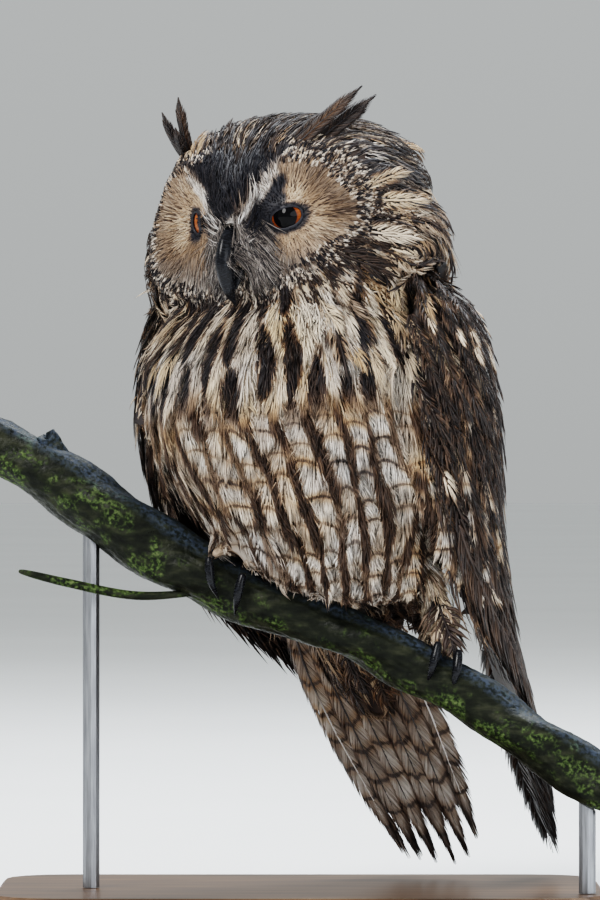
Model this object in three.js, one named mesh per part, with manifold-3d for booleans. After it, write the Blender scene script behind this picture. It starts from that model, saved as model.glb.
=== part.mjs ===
// A long-eared owl, life size, sitting hunched on a cut length of branch that a plain stand holds up.
// Millimetres, +Z up. The origin is the middle of the stand's underside. The owl faces -Y, turned towards -X.

import * as THREE from 'three';
import * as BufferGeometryUtils from 'three/addons/utils/BufferGeometryUtils.js';
import Module from 'manifold-3d';

const wasm = await Module();
wasm.setup();

const degrees = Math.PI / 180;
const gap = 0.3;
const deepCut = 60;
const farReach = 500;
const sharpestLean = 0.35;

// Where the owl and its perch stand over the base, and how far body and head are turned
const birdForward = 26;
const bodyYaw = 27 * degrees;
const headYaw = 31 * degrees;
const headPitch = 5 * degrees;
const headRoll = 2.5 * degrees;

const head = {
  centre: new THREE.Vector3(-4.4, 4, 280),
  halfWidth: 54,
  front: 40,
  back: 60,
  up: 41,
  down: 42,
  squareness: 2.4,
  faceStarts: [0.1, 0.45],
};

const disc = {
  hollowReach: 0.62,
  insideEdge: 3,
  outsideEdge: 14,
  centreLeft: 23,
  centreUp: -7,
  halfWidth: 27,
  halfHeight: 32,
  rimHeight: 3.5,
  rimWidth: 0.13,
  hollow: 5,
  floor: 10,
  chin: -37,
  slopeLeft: 0.6,
  slopeRight: 0.28,
};

const brow = { height: 12, halfWidth: 7.5, top: 19, bottom: -24, fade: 26 };
const eye = {
  left: 17,
  forward: 27.5,
  up: -0.5,
  radius: 9.5,
  corneaRadius: 6.6,
  corneaRise: 1.2,
  socket: 11,
};

const bill = {
  upper: [[38, -3], [47.5, -7], [52, -16], [50.5, -26.5], [45.5, -34.5]],
  upperHalfWidth: [4.3, 4.5, 4.1, 2.8, 0.5],
  upperHalfDepth: [5.5, 5.8, 4.8, 3.2, 0.6],
  lower: [[36, -15], [42, -21], [45, -27.5]],
  lowerHalfWidth: [4, 3.4, 1.2],
  lowerHalfDepth: [2.4, 2, 0.8],
};

const neck = {
  centre: new THREE.Vector3(1, 12, 262),
  halfWidth: 63,
  front: 50,
  back: 58,
  up: 48,
  down: 40,
  fullness: 0.8,
};

// Thin cuts that part head, neck and trunk: a point of the cut, forward and up, and how far it leans
const cuts = {
  headFromNeck: { forward: 45, z: 238, lean: 28.7 * degrees },
  neckFromTrunk: { forward: 55, z: 222, lean: 12.3 * degrees },
};

// Sections of the trunk: height, its middle to the owl's left and forward, half width, and depth
// before and behind that middle
const trunkSections = [
  { z: 262, left: -1, forward: 0, half: 30, front: 26, back: 30 },
  { z: 246, left: -1, forward: 0, half: 48, front: 40, back: 44 },
  { z: 222, left: -2, forward: 2, half: 64, front: 58, back: 56 },
  { z: 190, left: -2, forward: 3, half: 64, front: 60, back: 58 },
  { z: 164, left: 4, forward: 0, half: 56, front: 54, back: 57 },
  { z: 142, left: 9, forward: -6, half: 47, front: 42, back: 50 },
  { z: 124, left: 11, forward: -12, half: 38, front: 32, back: 40 },
  { z: 116, left: 11, forward: -14, half: 32, front: 28, back: 34 },
];
const trunkCentre = new THREE.Vector3(2, 8, 0);
const trunkRound = 64;
const fringe = { tips: 13, depth: 11, starts: 0.55, rim: 0.9, hollow: 12, closesIn: 9 };

// How a folded wing's edge steps and thins
const wingEdge = { step: 0.1, stepsFrom: [0.55, 0.7], thins: 0.86, axisBack: 8 };

// A folded wing: points down its middle, half widths, half thicknesses
const wingLeft = {
  line: [
    [49, -4, 256], [58, -14, 236], [69, -9, 196], [75, 8, 152], [85, 42, 100], [94, 64, 56], [104, 86, 18],
  ],
  halfWidth: [8, 27, 37, 37, 26, 17, 5],
  halfThickness: [5, 10, 9, 6.5, 3.6, 2.2, 1],
  steps: 7,
};
const wingRight = {
  line: [
    [-36, 40, 256], [-49, 42, 236], [-51, 50, 196], [-28, 61, 152], [18, 73, 106], [37, 83, 70], [53, 93, 34],
  ],
  halfWidth: [8, 27, 34, 30, 18, 12, 4],
  halfThickness: [5, 10, 9, 6.5, 3.6, 2.2, 1],
  steps: 7,
};

const tail = {
  root: new THREE.Vector3(6, 37, 134),
  tip: new THREE.Vector3(58, 80, 19),
  rootHalfWidth: 14,
  tipHalfWidth: 31,
  rootHalfThickness: 6,
  tipHalfThickness: 0.9,
  feathers: 6,
  notch: 11,
  roundness: 6,
  lap: 0.8,
  bow: 3,
  edgeThins: 0.3,
  coverts: [[13, 34, 126], [24, 46, 98], [35, 57, 72]],
  covertsHalfWidth: [18, 18, 8],
  covertsHalfDepth: [12, 9, 3],
};

const earTufts = {
  ear_tuft_right: [
    { root: [-35, 17, 28], tip: [-30, 28, 49], half: 3.2 },
    { root: [-39, 14, 26], tip: [-39, 26, 44], half: 3 },
  ],
  ear_tuft_left: [
    { root: [21, 25, 27], tip: [42, 6, 48], half: 4.4 },
    { root: [24, 21, 26], tip: [44.5, 0, 44.5], half: 4.4 },
    { root: [22, 17, 29], tip: [39, 0, 41], half: 4.2 },
  ],
};

// The shape that every feather of the ear tufts shares
const tuft = {
  rootShare: 0.45,
  fullest: 0.9,
  tipNarrows: 0.72,
  narrowsFrom: 0.6,
  thickness: 1.5,
  thins: 0.8,
  edgeThins: 0.35,
  bow: 1.5,
};

// Perch: heights and radii at even steps along X, from the high end to the low one
const perch = {
  halfLength: 126,
  backAtLeft: 0.18,
  heights: [191, 168, 144, 125.5, 112.5, 94.5, 72, 48.5],
  radii: [10, 12.4, 12.8, 11, 10, 10.4, 10.2, 11.2],
  bumps: 0.7,
  stub: { x: -98, lean: 28 * degrees, radius: 6.5, length: 22 },
  stubNarrows: 0.75,
  stubSinks: 0.75,
  twig: [[-40, 3, 128], [-66, 0, 127], [-92, -6, 132], [-112, -12, 137]],
  twigRadius: 1.8,
};

// Each toe's place along the perch, its turn about it and how far its claw drifts sideways
const feet = {
  right: {
    x: -31,
    ankleUp: 9,
    legTop: [-16, 5, 166],
    toes: { inner: [7.4, 64, -0.1], middle: [-6.5, 66, 0.45], outer: [7, -56, 0], hind: [-6, -66, 0] },
  },
  left: {
    x: 47,
    ankleUp: 13,
    legTop: [42, 0, 152],
    toes: { inner: [3, 37, -0.05], middle: [10, 30, 0.1], outer: [8, -55, 0], hind: [-5, -66, 0] },
  },
};
const toe = {
  rootRadius: 5.1,
  radius: 4.6,
  tipRadius: 3.4,
  rootLift: 1.5,
  lift: 1.06,
};
const footPad = { radius: 6.9, sinks: 2 };
const claw = { rootRadius: 2.7, middleRadius: 2.1, tipRadius: 0.35, length: 19, hook: 0.6 };
const leg = { halfWidth: [11, 9.5, 7], halfDepth: [12, 9.5, 7.5] };

const stand = {
  width: 244,
  depth: 150,
  thickness: 9,
  corner: 26,
  bevel: 1.5,
  rodRadius: 3.5,
  rods: { stand_rod_left: -84, stand_rod_right: 114 },
};

const finishes = {
  plumage: { color: 0xa08a68, roughness: 0.9, metalness: 0 },
  face: { color: 0xb49a6e, roughness: 0.9, metalness: 0 },
  darkFeather: { color: 0x3a2e27, roughness: 0.85, metalness: 0 },
  eye: { color: 0xc8641a, roughness: 0.08, metalness: 0 },
  horn: { color: 0x23262a, roughness: 0.35, metalness: 0 },
  bark: { color: 0x38402e, roughness: 0.55, metalness: 0 },
  wood: { color: 0x4a3526, roughness: 0.5, metalness: 0 },
  steel: { color: 0x55585c, roughness: 0.35, metalness: 1 },
};

// The turned axes of body and head
function turnedAxes(yaw, pitch, roll) {
  const left = new THREE.Vector3(Math.cos(yaw), -Math.sin(yaw), 0);
  const level = new THREE.Vector3(-Math.sin(yaw), -Math.cos(yaw), 0);
  const up = new THREE.Vector3(0, 0, 1);
  const forward = level.clone().multiplyScalar(Math.cos(pitch)).addScaledVector(up, -Math.sin(pitch));
  const raised = up.clone().multiplyScalar(Math.cos(pitch)).addScaledVector(level, Math.sin(pitch));
  return {
    left: left.clone().multiplyScalar(Math.cos(roll)).addScaledVector(raised, Math.sin(roll)),
    forward,
    up: raised.clone().multiplyScalar(Math.cos(roll)).addScaledVector(left, -Math.sin(roll)),
  };
}

const bodyAxes = turnedAxes(bodyYaw, 0, 0);
const headAxes = turnedAxes(headYaw, headPitch, headRoll);

function inAxes(axes, centre, left, forward, up) {
  return centre.clone()
    .addScaledVector(axes.left, left)
    .addScaledVector(axes.forward, forward)
    .addScaledVector(axes.up, up);
}

function onHead(left, forward, up) {
  return inAxes(headAxes, head.centre, left, forward, up);
}

function onBody(left, forward, z) {
  return inAxes(bodyAxes, trunkCentre, left, forward, z);
}

function smooth(low, high, x) {
  return THREE.MathUtils.smoothstep(x, low, high);
}

function bell(x, width) {
  return Math.exp(-((x / width) ** 2));
}

// A smooth value between the evenly spaced entries of a list
function along(values, t) {
  const points = values.map((value, i) => new THREE.Vector3(value, i, 0));
  const curve = new THREE.CatmullRomCurve3(points, false, 'catmullrom');
  return curve.getPoint(THREE.MathUtils.clamp(t, 0, 1)).x;
}

function signedVolume(geometry) {
  const at = geometry.attributes.position;
  const index = geometry.index;
  const [a, b, c] = [new THREE.Vector3(), new THREE.Vector3(), new THREE.Vector3()];
  let sum = 0;
  for (let i = 0; i < index.count; i += 3) {
    a.fromBufferAttribute(at, index.getX(i));
    b.fromBufferAttribute(at, index.getX(i + 1));
    c.fromBufferAttribute(at, index.getX(i + 2));
    sum += a.dot(b.cross(c)) / 6;
  }
  return sum;
}

// Merges what touches and turns the faces outwards
function sealed(geometry) {
  geometry.deleteAttribute('normal');
  geometry.deleteAttribute('uv');
  const closed = BufferGeometryUtils.mergeVertices(geometry, 1e-4);
  if (signedVolume(closed) < 0) {
    const index = closed.index;
    for (let i = 0; i < index.count; i += 3) {
      const first = index.getX(i);
      index.setX(i, index.getX(i + 2));
      index.setX(i + 2, first);
    }
  }
  return closed;
}

// A sphere moulded by a rule that takes the angle around and the share of the way from pole to pole
function moulded(columns, rows, place) {
  const geometry = new THREE.SphereGeometry(1, columns, rows);
  const { position, uv } = geometry.attributes;
  for (let i = 0; i < position.count; i += 1) {
    const share = 1 - uv.getY(i);
    const point = place(uv.getX(i) * 2 * Math.PI, share);
    position.setXYZ(i, point.x, point.y, point.z);
  }
  return sealed(geometry);
}

// A slab bent by a rule that takes x and y from -1 to 1 and 0 to 1, and the side, -1 or 1
function slab(columns, rows, place) {
  const geometry = new THREE.BoxGeometry(2, 1, 2, columns, rows, 1);
  const { position } = geometry.attributes;
  for (let i = 0; i < position.count; i += 1) {
    const point = place(position.getX(i), position.getY(i) + 0.5, position.getZ(i));
    position.setXYZ(i, point.x, point.y, point.z);
  }
  return sealed(geometry);
}

// A round bar along a smooth line, with half widths and half depths down its length and rounded ends
function bar(points, halfWidths, halfDepths, across, columns, rows) {
  const curve = new THREE.CatmullRomCurve3(points, false, 'catmullrom');
  return moulded(columns, rows, (angle, share) => {
    const round = Math.sqrt(Math.max(0, Math.sin(share * Math.PI)));
    const t = (1 - Math.cos(share * Math.PI)) / 2;
    const ahead = curve.getTangent(t);
    const side = across.clone().addScaledVector(ahead, -across.dot(ahead)).normalize();
    const depth = new THREE.Vector3().crossVectors(ahead, side);
    return curve.getPoint(t)
      .addScaledVector(side, along(halfWidths, t) * round * Math.cos(angle))
      .addScaledVector(depth, along(halfDepths, t) * round * Math.sin(angle));
  });
}

// A copy whose every face has moved out by a distance
function grown(geometry, by) {
  const copy = geometry.clone();
  const { position } = copy.attributes;
  const faces = Array.from({ length: position.count }, () => []);
  for (let i = 0; i < copy.index.count; i += 3) {
    const corners = [0, 1, 2].map((k) => copy.index.getX(i + k));
    const [a, b, c] = corners.map((k) => new THREE.Vector3().fromBufferAttribute(position, k));
    const normal = b.sub(a).cross(c.sub(a)).normalize();
    corners.forEach((k) => faces[k].push(normal));
  }
  faces.forEach((normals, k) => {
    const mean = normals.reduce((sum, normal) => sum.add(normal), new THREE.Vector3()).normalize();
    const least = Math.max(sharpestLean, Math.min(...normals.map((normal) => normal.dot(mean))));
    const moved = new THREE.Vector3().fromBufferAttribute(position, k).addScaledVector(mean, by / least);
    position.setXYZ(k, moved.x, moved.y, moved.z);
  });
  return copy;
}

function toSolid(geometry) {
  return new wasm.Manifold(new wasm.Mesh({
    numProp: 3,
    vertProperties: new Float32Array(geometry.attributes.position.array),
    triVerts: new Uint32Array(geometry.index.array),
  }));
}

function toGeometry(solid) {
  const whole = solid.decompose().sort((a, b) => b.volume() - a.volume())[0];
  const { vertProperties, triVerts } = whole.getMesh();
  const geometry = new THREE.BufferGeometry();
  geometry.setAttribute('position', new THREE.BufferAttribute(vertProperties, 3));
  geometry.setIndex(new THREE.BufferAttribute(triVerts, 1));
  return geometry;
}

function joined(...geometries) {
  return toGeometry(geometries.map(toSolid).reduce((whole, next) => whole.add(next)));
}

// The parts that a thin leaning cut leaves, the upper one first
function partedBy(geometry, { forward, z, lean }) {
  const blade = new THREE.BoxGeometry(farReach, farReach, gap);
  const turn = new THREE.Matrix4().makeBasis(
    bodyAxes.left,
    bodyAxes.forward.clone().multiplyScalar(-Math.cos(lean)).add(new THREE.Vector3(0, 0, Math.sin(lean))),
    bodyAxes.forward.clone().multiplyScalar(Math.sin(lean)).add(new THREE.Vector3(0, 0, Math.cos(lean))),
  );
  blade.applyMatrix4(turn);
  const at = onBody(0, forward, z);
  blade.translate(at.x, at.y, at.z);
  const parts = toSolid(geometry).subtract(toSolid(sealed(blade))).decompose();
  const height = (part) => part.boundingBox().max[2];
  return parts.sort((a, b) => b.volume() - a.volume()).slice(0, 2)
    .sort((a, b) => height(b) - height(a)).map(toGeometry);
}

// Cuts the neighbours out of a piece, with the gap left between them
function clearOf(geometry, ...neighbours) {
  const cut = (left, next) => left.subtract(toSolid(grown(next, gap)));
  return toGeometry(neighbours.reduce(cut, toSolid(geometry)));
}

// Head: a squarish dome with two hollow face discs, their raised rims and a brow between them.
// How far out of its disc a point of the face lies: 1 at the rim, which slants up from the chin
function discReach(left, up) {
  const across = (Math.abs(left) - disc.centreLeft) / disc.halfWidth;
  const high = (up - disc.centreUp) / disc.halfHeight;
  const slant = disc.chin + Math.abs(left) * (left > 0 ? disc.slopeLeft : disc.slopeRight);
  return Math.max(Math.hypot(across, high), 1 + (slant - up) / disc.halfHeight);
}

function faceRelief(left, up) {
  const reach = discReach(left, up);
  const rim = disc.rimHeight * bell(reach - 1, disc.rimWidth);
  const hollow = -disc.hollow * bell(reach, disc.hollowReach);
  const aboveChin = smooth(brow.bottom - brow.fade / 2, brow.bottom + brow.fade / 2, up);
  const belowCrown = 1 - smooth(brow.top - brow.fade / 2, brow.top + brow.fade / 2, up);
  const ridge = brow.height * bell(left, brow.halfWidth) * aboveChin * belowCrown;
  return rim * smooth(disc.insideEdge, disc.outsideEdge, Math.abs(left)) + hollow + ridge;
}

function headShape() {
  return moulded(22, 16, (angle, share) => {
    const polar = share * Math.PI;
    const x = Math.sin(polar) * Math.cos(angle);
    const z = Math.sin(polar) * Math.sin(angle);
    const y = Math.cos(polar);
    const front = y > 0 ? head.front : head.back;
    const high = z > 0 ? head.up : head.down;
    const n = head.squareness;
    const shares = [x / head.halfWidth, y / front, z / high];
    const scale = shares.reduce((sum, each) => sum + Math.abs(each) ** n, 0) ** (-1 / n);
    const left = x * scale;
    const up = z * scale;
    const relief = faceRelief(left, up) * smooth(...head.faceStarts, y);
    return onHead(left, y * scale + relief, up);
  });
}

// The solid that parts the face discs from the head, along the head's forward axis
function discCutter(grow) {
  const cheeks = [-1, 1].map((side) => {
    const puck = new THREE.CylinderGeometry(1, 1, deepCut, 16, 1);
    const { position } = puck.attributes;
    for (let i = 0; i < position.count; i += 1) {
      const left = side * disc.centreLeft + position.getX(i) * (disc.halfWidth + grow);
      const up = disc.centreUp + position.getZ(i) * (disc.halfHeight + grow);
      const forward = disc.floor - grow + deepCut / 2 + position.getY(i);
      const point = onHead(left, forward, up);
      position.setXYZ(i, point.x, point.y, point.z);
    }
    return sealed(puck);
  });
  return joined(...cheeks);
}

function eyeShape(side) {
  return moulded(12, 9, (angle, share) => {
    const polar = share * Math.PI;
    const reach = eye.radius * Math.sin(polar);
    const rise = eye.corneaRise * (1 - smooth(0, eye.corneaRadius, reach)) * (share < 0.5 ? 1 : 0);
    return onHead(
      side * eye.left + reach * Math.cos(angle),
      eye.forward + eye.radius * Math.cos(polar) + rise,
      eye.up + reach * Math.sin(angle),
    );
  });
}

function socketShape(side) {
  const ball = new THREE.SphereGeometry(eye.socket, 8, 6);
  const middle = onHead(side * eye.left, eye.forward, eye.up);
  ball.translate(middle.x, middle.y, middle.z);
  return sealed(ball);
}

function billShape(profile, halfWidth, halfDepth, rows) {
  const points = profile.map(([forward, up]) => onHead(0, forward, up));
  return bar(points, halfWidth, halfDepth, headAxes.left, 8, rows);
}

// One flat feather from root to tip, a long leaf that is widest past its middle
function featherShape(root, tip, half, faceTo) {
  const length = root.distanceTo(tip);
  const ahead = tip.clone().sub(root).normalize();
  const side = new THREE.Vector3().crossVectors(ahead, faceTo).normalize();
  const out = new THREE.Vector3().crossVectors(side, ahead);
  return slab(2, 4, (x, y, z) => {
    const bulge = tuft.rootShare + (1 - tuft.rootShare) * Math.sin(Math.PI * Math.min(1, y * tuft.fullest));
    const width = half * bulge * (1 - tuft.tipNarrows * smooth(tuft.narrowsFrom, 1, y));
    const thickness = tuft.thickness - tuft.thins * y - tuft.edgeThins * Math.abs(x);
    return root.clone()
      .addScaledVector(ahead, length * y)
      .addScaledVector(side, width * x)
      .addScaledVector(out, thickness * z + tuft.bow * Math.sin(Math.PI * y));
  });
}

function tuftShape(feathers) {
  return joined(...feathers.map(({ root, tip, half }) => featherShape(
    onHead(...root), onHead(...tip), half, headAxes.forward,
  )));
}

function neckShape() {
  return moulded(16, 8, (angle, share) => {
    const polar = share * Math.PI;
    const front = Math.sin(angle) > 0 ? neck.front : neck.back;
    const high = share < 0.5 ? neck.up : neck.down;
    const ring = Math.sin(polar) ** neck.fullness;
    return inAxes(
      bodyAxes, neck.centre,
      neck.halfWidth * ring * Math.cos(angle), front * ring * Math.sin(angle), high * Math.cos(polar),
    );
  });
}

// Trunk: sections from the shoulders down to the ragged skirt of belly feathers, and the hollow under it
function trunkShape() {
  const [zs, lefts, forwards, halves, fronts, backs] = ['z', 'left', 'forward', 'half', 'front', 'back']
    .map((key) => trunkSections.map((section) => section[key]));
  return moulded(26, 11, (angle, share) => {
    const down = Math.min(1, share / fringe.rim);
    const under = Math.max(0, (share - fringe.rim) / (1 - fringe.rim));
    const start = Math.min(1, share * fringe.closesIn);
    const ring = Math.sqrt(start * (2 - start)) * (1 - under);
    const deep = Math.sin(angle) > 0 ? along(fronts, down) : along(backs, down);
    const ragged = Math.abs(Math.sin((fringe.tips * angle) / 2));
    const tips = fringe.depth * smooth(fringe.starts, 1, down) * ragged;
    return onBody(
      along(lefts, down) + along(halves, down) * ring * Math.cos(angle),
      along(forwards, down) + deep * ring * Math.sin(angle),
      along(zs, down) - tips * (1 - under) + fringe.hollow * under,
    );
  });
}

// A folded wing: a long curved leaf, thick at the shoulder, its hind edge stepped by the flight feathers
function wingShape({ line, halfWidth, halfThickness, steps }) {
  const points = line.map((point) => new THREE.Vector3(...point));
  const curve = new THREE.CatmullRomCurve3(points, false, 'catmullrom');
  return slab(5, 12, (x, y, z) => {
    const middle = curve.getPoint(y);
    const ahead = curve.getTangent(y);
    const axis = onBody(0, -wingEdge.axisBack, middle.z);
    const out = middle.clone().sub(axis).normalize();
    out.addScaledVector(ahead, -out.dot(ahead)).normalize();
    const side = new THREE.Vector3().crossVectors(ahead, out);
    const half = along(halfWidth, y);
    const step = 1 - wingEdge.step * smooth(...wingEdge.stepsFrom, y) * ((y * steps * 2) % 1);
    const wrap = (half * x) ** 2 / (2 * trunkRound);
    const thin = Math.sqrt(1 - wingEdge.thins * x * x);
    return middle
      .addScaledVector(side, half * step * x)
      .addScaledVector(out, along(halfThickness, y) * thin * z - wrap);
  });
}

// Tail: a fan of overlapping feathers with pointed tips, and the soft coverts below its root
function tailShape() {
  const ahead = tail.tip.clone().sub(tail.root);
  const side = bodyAxes.left.clone()
    .addScaledVector(ahead, -bodyAxes.left.dot(ahead) / ahead.lengthSq())
    .normalize();
  const under = new THREE.Vector3().crossVectors(side, ahead).normalize();
  const fan = slab(tail.feathers * 4, 3, (x, y, z) => {
    const across = ((x + 1) / 2) * tail.feathers;
    const inFeather = Math.abs((across % 1) - 0.5) * 2;
    const shorter = (tail.notch * inFeather ** 1.6 + tail.roundness * x * x) * smooth(0.55, 1, y);
    const lap = tail.lap * (inFeather - 0.5) * smooth(0.2, 0.6, y);
    const half = THREE.MathUtils.lerp(tail.rootHalfWidth, tail.tipHalfWidth, y);
    const thick = THREE.MathUtils.lerp(tail.rootHalfThickness, tail.tipHalfThickness, Math.sqrt(y));
    return tail.root.clone()
      .addScaledVector(ahead, y * (1 - shorter / ahead.length()))
      .addScaledVector(side, half * x)
      .addScaledVector(under, thick * z * (1 - tail.edgeThins * Math.abs(x)) + lap - tail.bow * x * x);
  });
  const coverts = bar(
    tail.coverts.map((point) => new THREE.Vector3(...point)),
    tail.covertsHalfWidth, tail.covertsHalfDepth, side, 10, 6,
  );
  return joined(fan, coverts);
}

// The perch's middle line over any X, and its radius there
function perchMiddle(x) {
  const t = (x + perch.halfLength) / (2 * perch.halfLength);
  return new THREE.Vector3(x, -perch.backAtLeft * x, along(perch.heights, t));
}

function perchRadius(x) {
  return along(perch.radii, (x + perch.halfLength) / (2 * perch.halfLength));
}

function perchAxes(x) {
  const ahead = perchMiddle(x + 1).sub(perchMiddle(x - 1)).normalize();
  const front = new THREE.Vector3(0, -1, 0).addScaledVector(ahead, ahead.y).normalize();
  const up = new THREE.Vector3().crossVectors(front, ahead).normalize();
  return { ahead, front, up: up.z < 0 ? up.negate() : up };
}

// A point beside the perch, turned from its top towards the front
function roundPerch(x, turn, distance) {
  const { front, up } = perchAxes(x);
  return perchMiddle(x)
    .addScaledVector(up, distance * Math.cos(turn))
    .addScaledVector(front, distance * Math.sin(turn));
}

function perchShape() {
  const rows = 20;
  const limb = moulded(9, rows, (angle, share) => {
    const flat = share === 0 || share === 1 ? 0 : 1;
    const x = perch.halfLength * THREE.MathUtils.clamp(((share - 0.5) * 2 * rows) / (rows - 2), -1, 1);
    const lump = perch.bumps * (Math.sin(3 * angle + x / 9) + Math.sin(x / 5.3 + 2 * angle));
    return roundPerch(x, angle, flat * (perchRadius(x) + lump));
  });
  const { x, lean, radius, length } = perch.stub;
  const stub = new THREE.CylinderGeometry(radius * perch.stubNarrows, radius, length, 9, 2);
  stub.rotateX(Math.PI / 2);
  stub.rotateY(-lean);
  const foot = perchMiddle(x).add(new THREE.Vector3(0, 0, perchRadius(x) * perch.stubSinks));
  stub.translate(foot.x, foot.y, foot.z);
  const twig = bar(
    perch.twig.map((point) => new THREE.Vector3(...point)),
    perch.twig.map(() => perch.twigRadius), perch.twig.map(() => perch.twigRadius),
    new THREE.Vector3(0, 1, 0), 6, 10,
  );
  return joined(limb, sealed(stub), twig);
}

// A foot: two toes over the front of the perch and two behind it, and their claws
function toePath(x, spread, turn) {
  return [0, 0.35, 0.7, 1].map((t) => {
    const reach = perchRadius(x + spread * t) + toe.radius * (t === 0 ? toe.rootLift : toe.lift) + gap;
    return roundPerch(x + spread * t, turn * t, reach);
  });
}

function toeShape(x, spread, turn) {
  const points = toePath(x, spread, turn);
  const radii = [toe.rootRadius, toe.radius, toe.radius, toe.tipRadius];
  return bar(points, radii, radii, perchAxes(x).ahead, 6, 5);
}

function clawShape(x, spread, turn, drift) {
  const points = toePath(x, spread, turn);
  const root = points[3];
  const end = x + spread;
  const outward = roundPerch(end, turn, 1).sub(perchMiddle(end));
  const onwards = roundPerch(end, turn + Math.sign(turn) * 90 * degrees, 1).sub(perchMiddle(end));
  const down = new THREE.Vector3(drift, 0, -1);
  const first = down.clone().addScaledVector(onwards, claw.hook).normalize();
  const level = new THREE.Vector3(outward.x, outward.y, 0).normalize();
  const second = down.clone().addScaledVector(level, -claw.hook).normalize();
  const middle = root.clone().addScaledVector(first, claw.length / 2);
  const path = [
    root.clone().addScaledVector(outward, 1),
    middle,
    middle.clone().addScaledVector(second, claw.length / 2),
  ];
  const radii = [claw.rootRadius, claw.middleRadius, claw.tipRadius];
  return bar(path, radii, radii, perchAxes(x).ahead, 5, 6);
}

function standBase() {
  const [halfWidth, halfDepth, corner] = [stand.width / 2, stand.depth / 2, stand.corner];
  const outline = new THREE.Shape();
  outline.absarc(halfWidth - corner, halfDepth - corner, corner, 0, Math.PI / 2);
  outline.absarc(corner - halfWidth, halfDepth - corner, corner, Math.PI / 2, Math.PI);
  outline.absarc(corner - halfWidth, corner - halfDepth, corner, Math.PI, 1.5 * Math.PI);
  outline.absarc(halfWidth - corner, corner - halfDepth, corner, 1.5 * Math.PI, 2 * Math.PI);
  const plate = new THREE.ExtrudeGeometry(outline, {
    depth: stand.thickness - 2 * stand.bevel,
    bevelThickness: stand.bevel,
    bevelSize: stand.bevel,
    bevelOffset: -stand.bevel,
    bevelSegments: 1,
    curveSegments: 2,
  });
  plate.translate(0, 0, stand.bevel);
  return sealed(plate);
}

function rodShape(x) {
  const top = perchMiddle(x);
  const bottom = stand.thickness + gap;
  const rod = new THREE.CylinderGeometry(stand.rodRadius, stand.rodRadius, top.z - bottom, 10, 1);
  rod.rotateX(Math.PI / 2);
  rod.translate(top.x, top.y, (top.z + bottom) / 2);
  return sealed(rod);
}

const object = new THREE.Group();
const bird = new THREE.Group();
bird.position.y = -birdForward;
object.add(bird);

function addPiece(group, name, geometry, finish) {
  const mesh = new THREE.Mesh(geometry, new THREE.MeshStandardMaterial(finish));
  mesh.name = name;
  group.add(mesh);
}

// Whole shapes, before they are parted from one another
const eyes = { eye_left: eyeShape(1), eye_right: eyeShape(-1) };
const sockets = [socketShape(1), socketShape(-1)];
const billUpper = billShape(bill.upper, bill.upperHalfWidth, bill.upperHalfDepth, 8);
const billLower = billShape(bill.lower, bill.lowerHalfWidth, bill.lowerHalfDepth, 6);
const [wholeHead, rest] = partedBy(joined(headShape(), neckShape(), trunkShape()), cuts.headFromNeck);
const [wholeNeck, wholeTrunk] = partedBy(rest, cuts.neckFromTrunk);
const wings = { wing_left: wingShape(wingLeft), wing_right: wingShape(wingRight) };
const wingList = Object.values(wings);
const tufts = Object.fromEntries(
  Object.entries(earTufts).map(([name, feathers]) => [name, tuftShape(feathers)]),
);
const tuftList = Object.values(tufts);
const wholeTail = tailShape();
const wholePerch = perchShape();

const feetShapes = {};
const clawShapes = {};
const legShapes = {};
for (const [side, { x, ankleUp, legTop, toes }] of Object.entries(feet)) {
  const ankle = roundPerch(x, 0, perchRadius(x) + ankleUp);
  const pad = new THREE.SphereGeometry(footPad.radius, 7, 4);
  pad.translate(ankle.x, ankle.y, ankle.z - footPad.sinks);
  const parts = Object.values(toes).map(([spread, turn]) => toeShape(x, spread, turn * degrees));
  feetShapes[`foot_${side}`] = joined(sealed(pad), ...parts);
  for (const [name, [spread, turn, drift]] of Object.entries(toes)) {
    clawShapes[`claw_${side}_${name}`] = clawShape(x, spread, turn * degrees, drift);
  }
  const top = new THREE.Vector3(...legTop);
  const line = [top, top.clone().lerp(ankle, 0.5), ankle.clone().add(new THREE.Vector3(0, 0, footPad.sinks))];
  legShapes[`leg_${side}`] = bar(line, leg.halfWidth, leg.halfDepth, bodyAxes.left, 8, 6);
}

// Head and face
const headSolid = toSolid(wholeHead);
const skull = toGeometry(headSolid.subtract(toSolid(discCutter(gap))));
const faceDisc = toGeometry(headSolid.intersect(toSolid(discCutter(0))));
addPiece(bird, 'head', clearOf(skull, billUpper, billLower, ...tuftList), finishes.plumage);
addPiece(bird, 'facial_disc', clearOf(faceDisc, billUpper, billLower, ...sockets), finishes.face);
addPiece(bird, 'bill_upper', billUpper, finishes.horn);
addPiece(bird, 'bill_lower', clearOf(billLower, billUpper), finishes.horn);
for (const [name, geometry] of Object.entries(eyes)) {
  addPiece(bird, name, geometry, finishes.eye);
}
for (const [name, geometry] of Object.entries(tufts)) {
  addPiece(bird, name, geometry, finishes.darkFeather);
}

// Neck, trunk, wings and tail
const feetList = Object.values(feetShapes);
const clawList = Object.values(clawShapes);
const legList = Object.values(legShapes);
addPiece(bird, 'neck', clearOf(wholeNeck, ...wingList), finishes.plumage);
addPiece(
  bird, 'trunk',
  clearOf(wholeTrunk, ...wingList, wholePerch, ...legList, ...feetList, ...clawList),
  finishes.plumage,
);
for (const [name, geometry] of Object.entries(wings)) {
  addPiece(bird, name, clearOf(geometry, wholeHead, wholePerch, ...feetList), finishes.darkFeather);
}
addPiece(bird, 'tail', clearOf(wholeTail, wholeTrunk, wholePerch, ...wingList), finishes.plumage);

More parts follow.
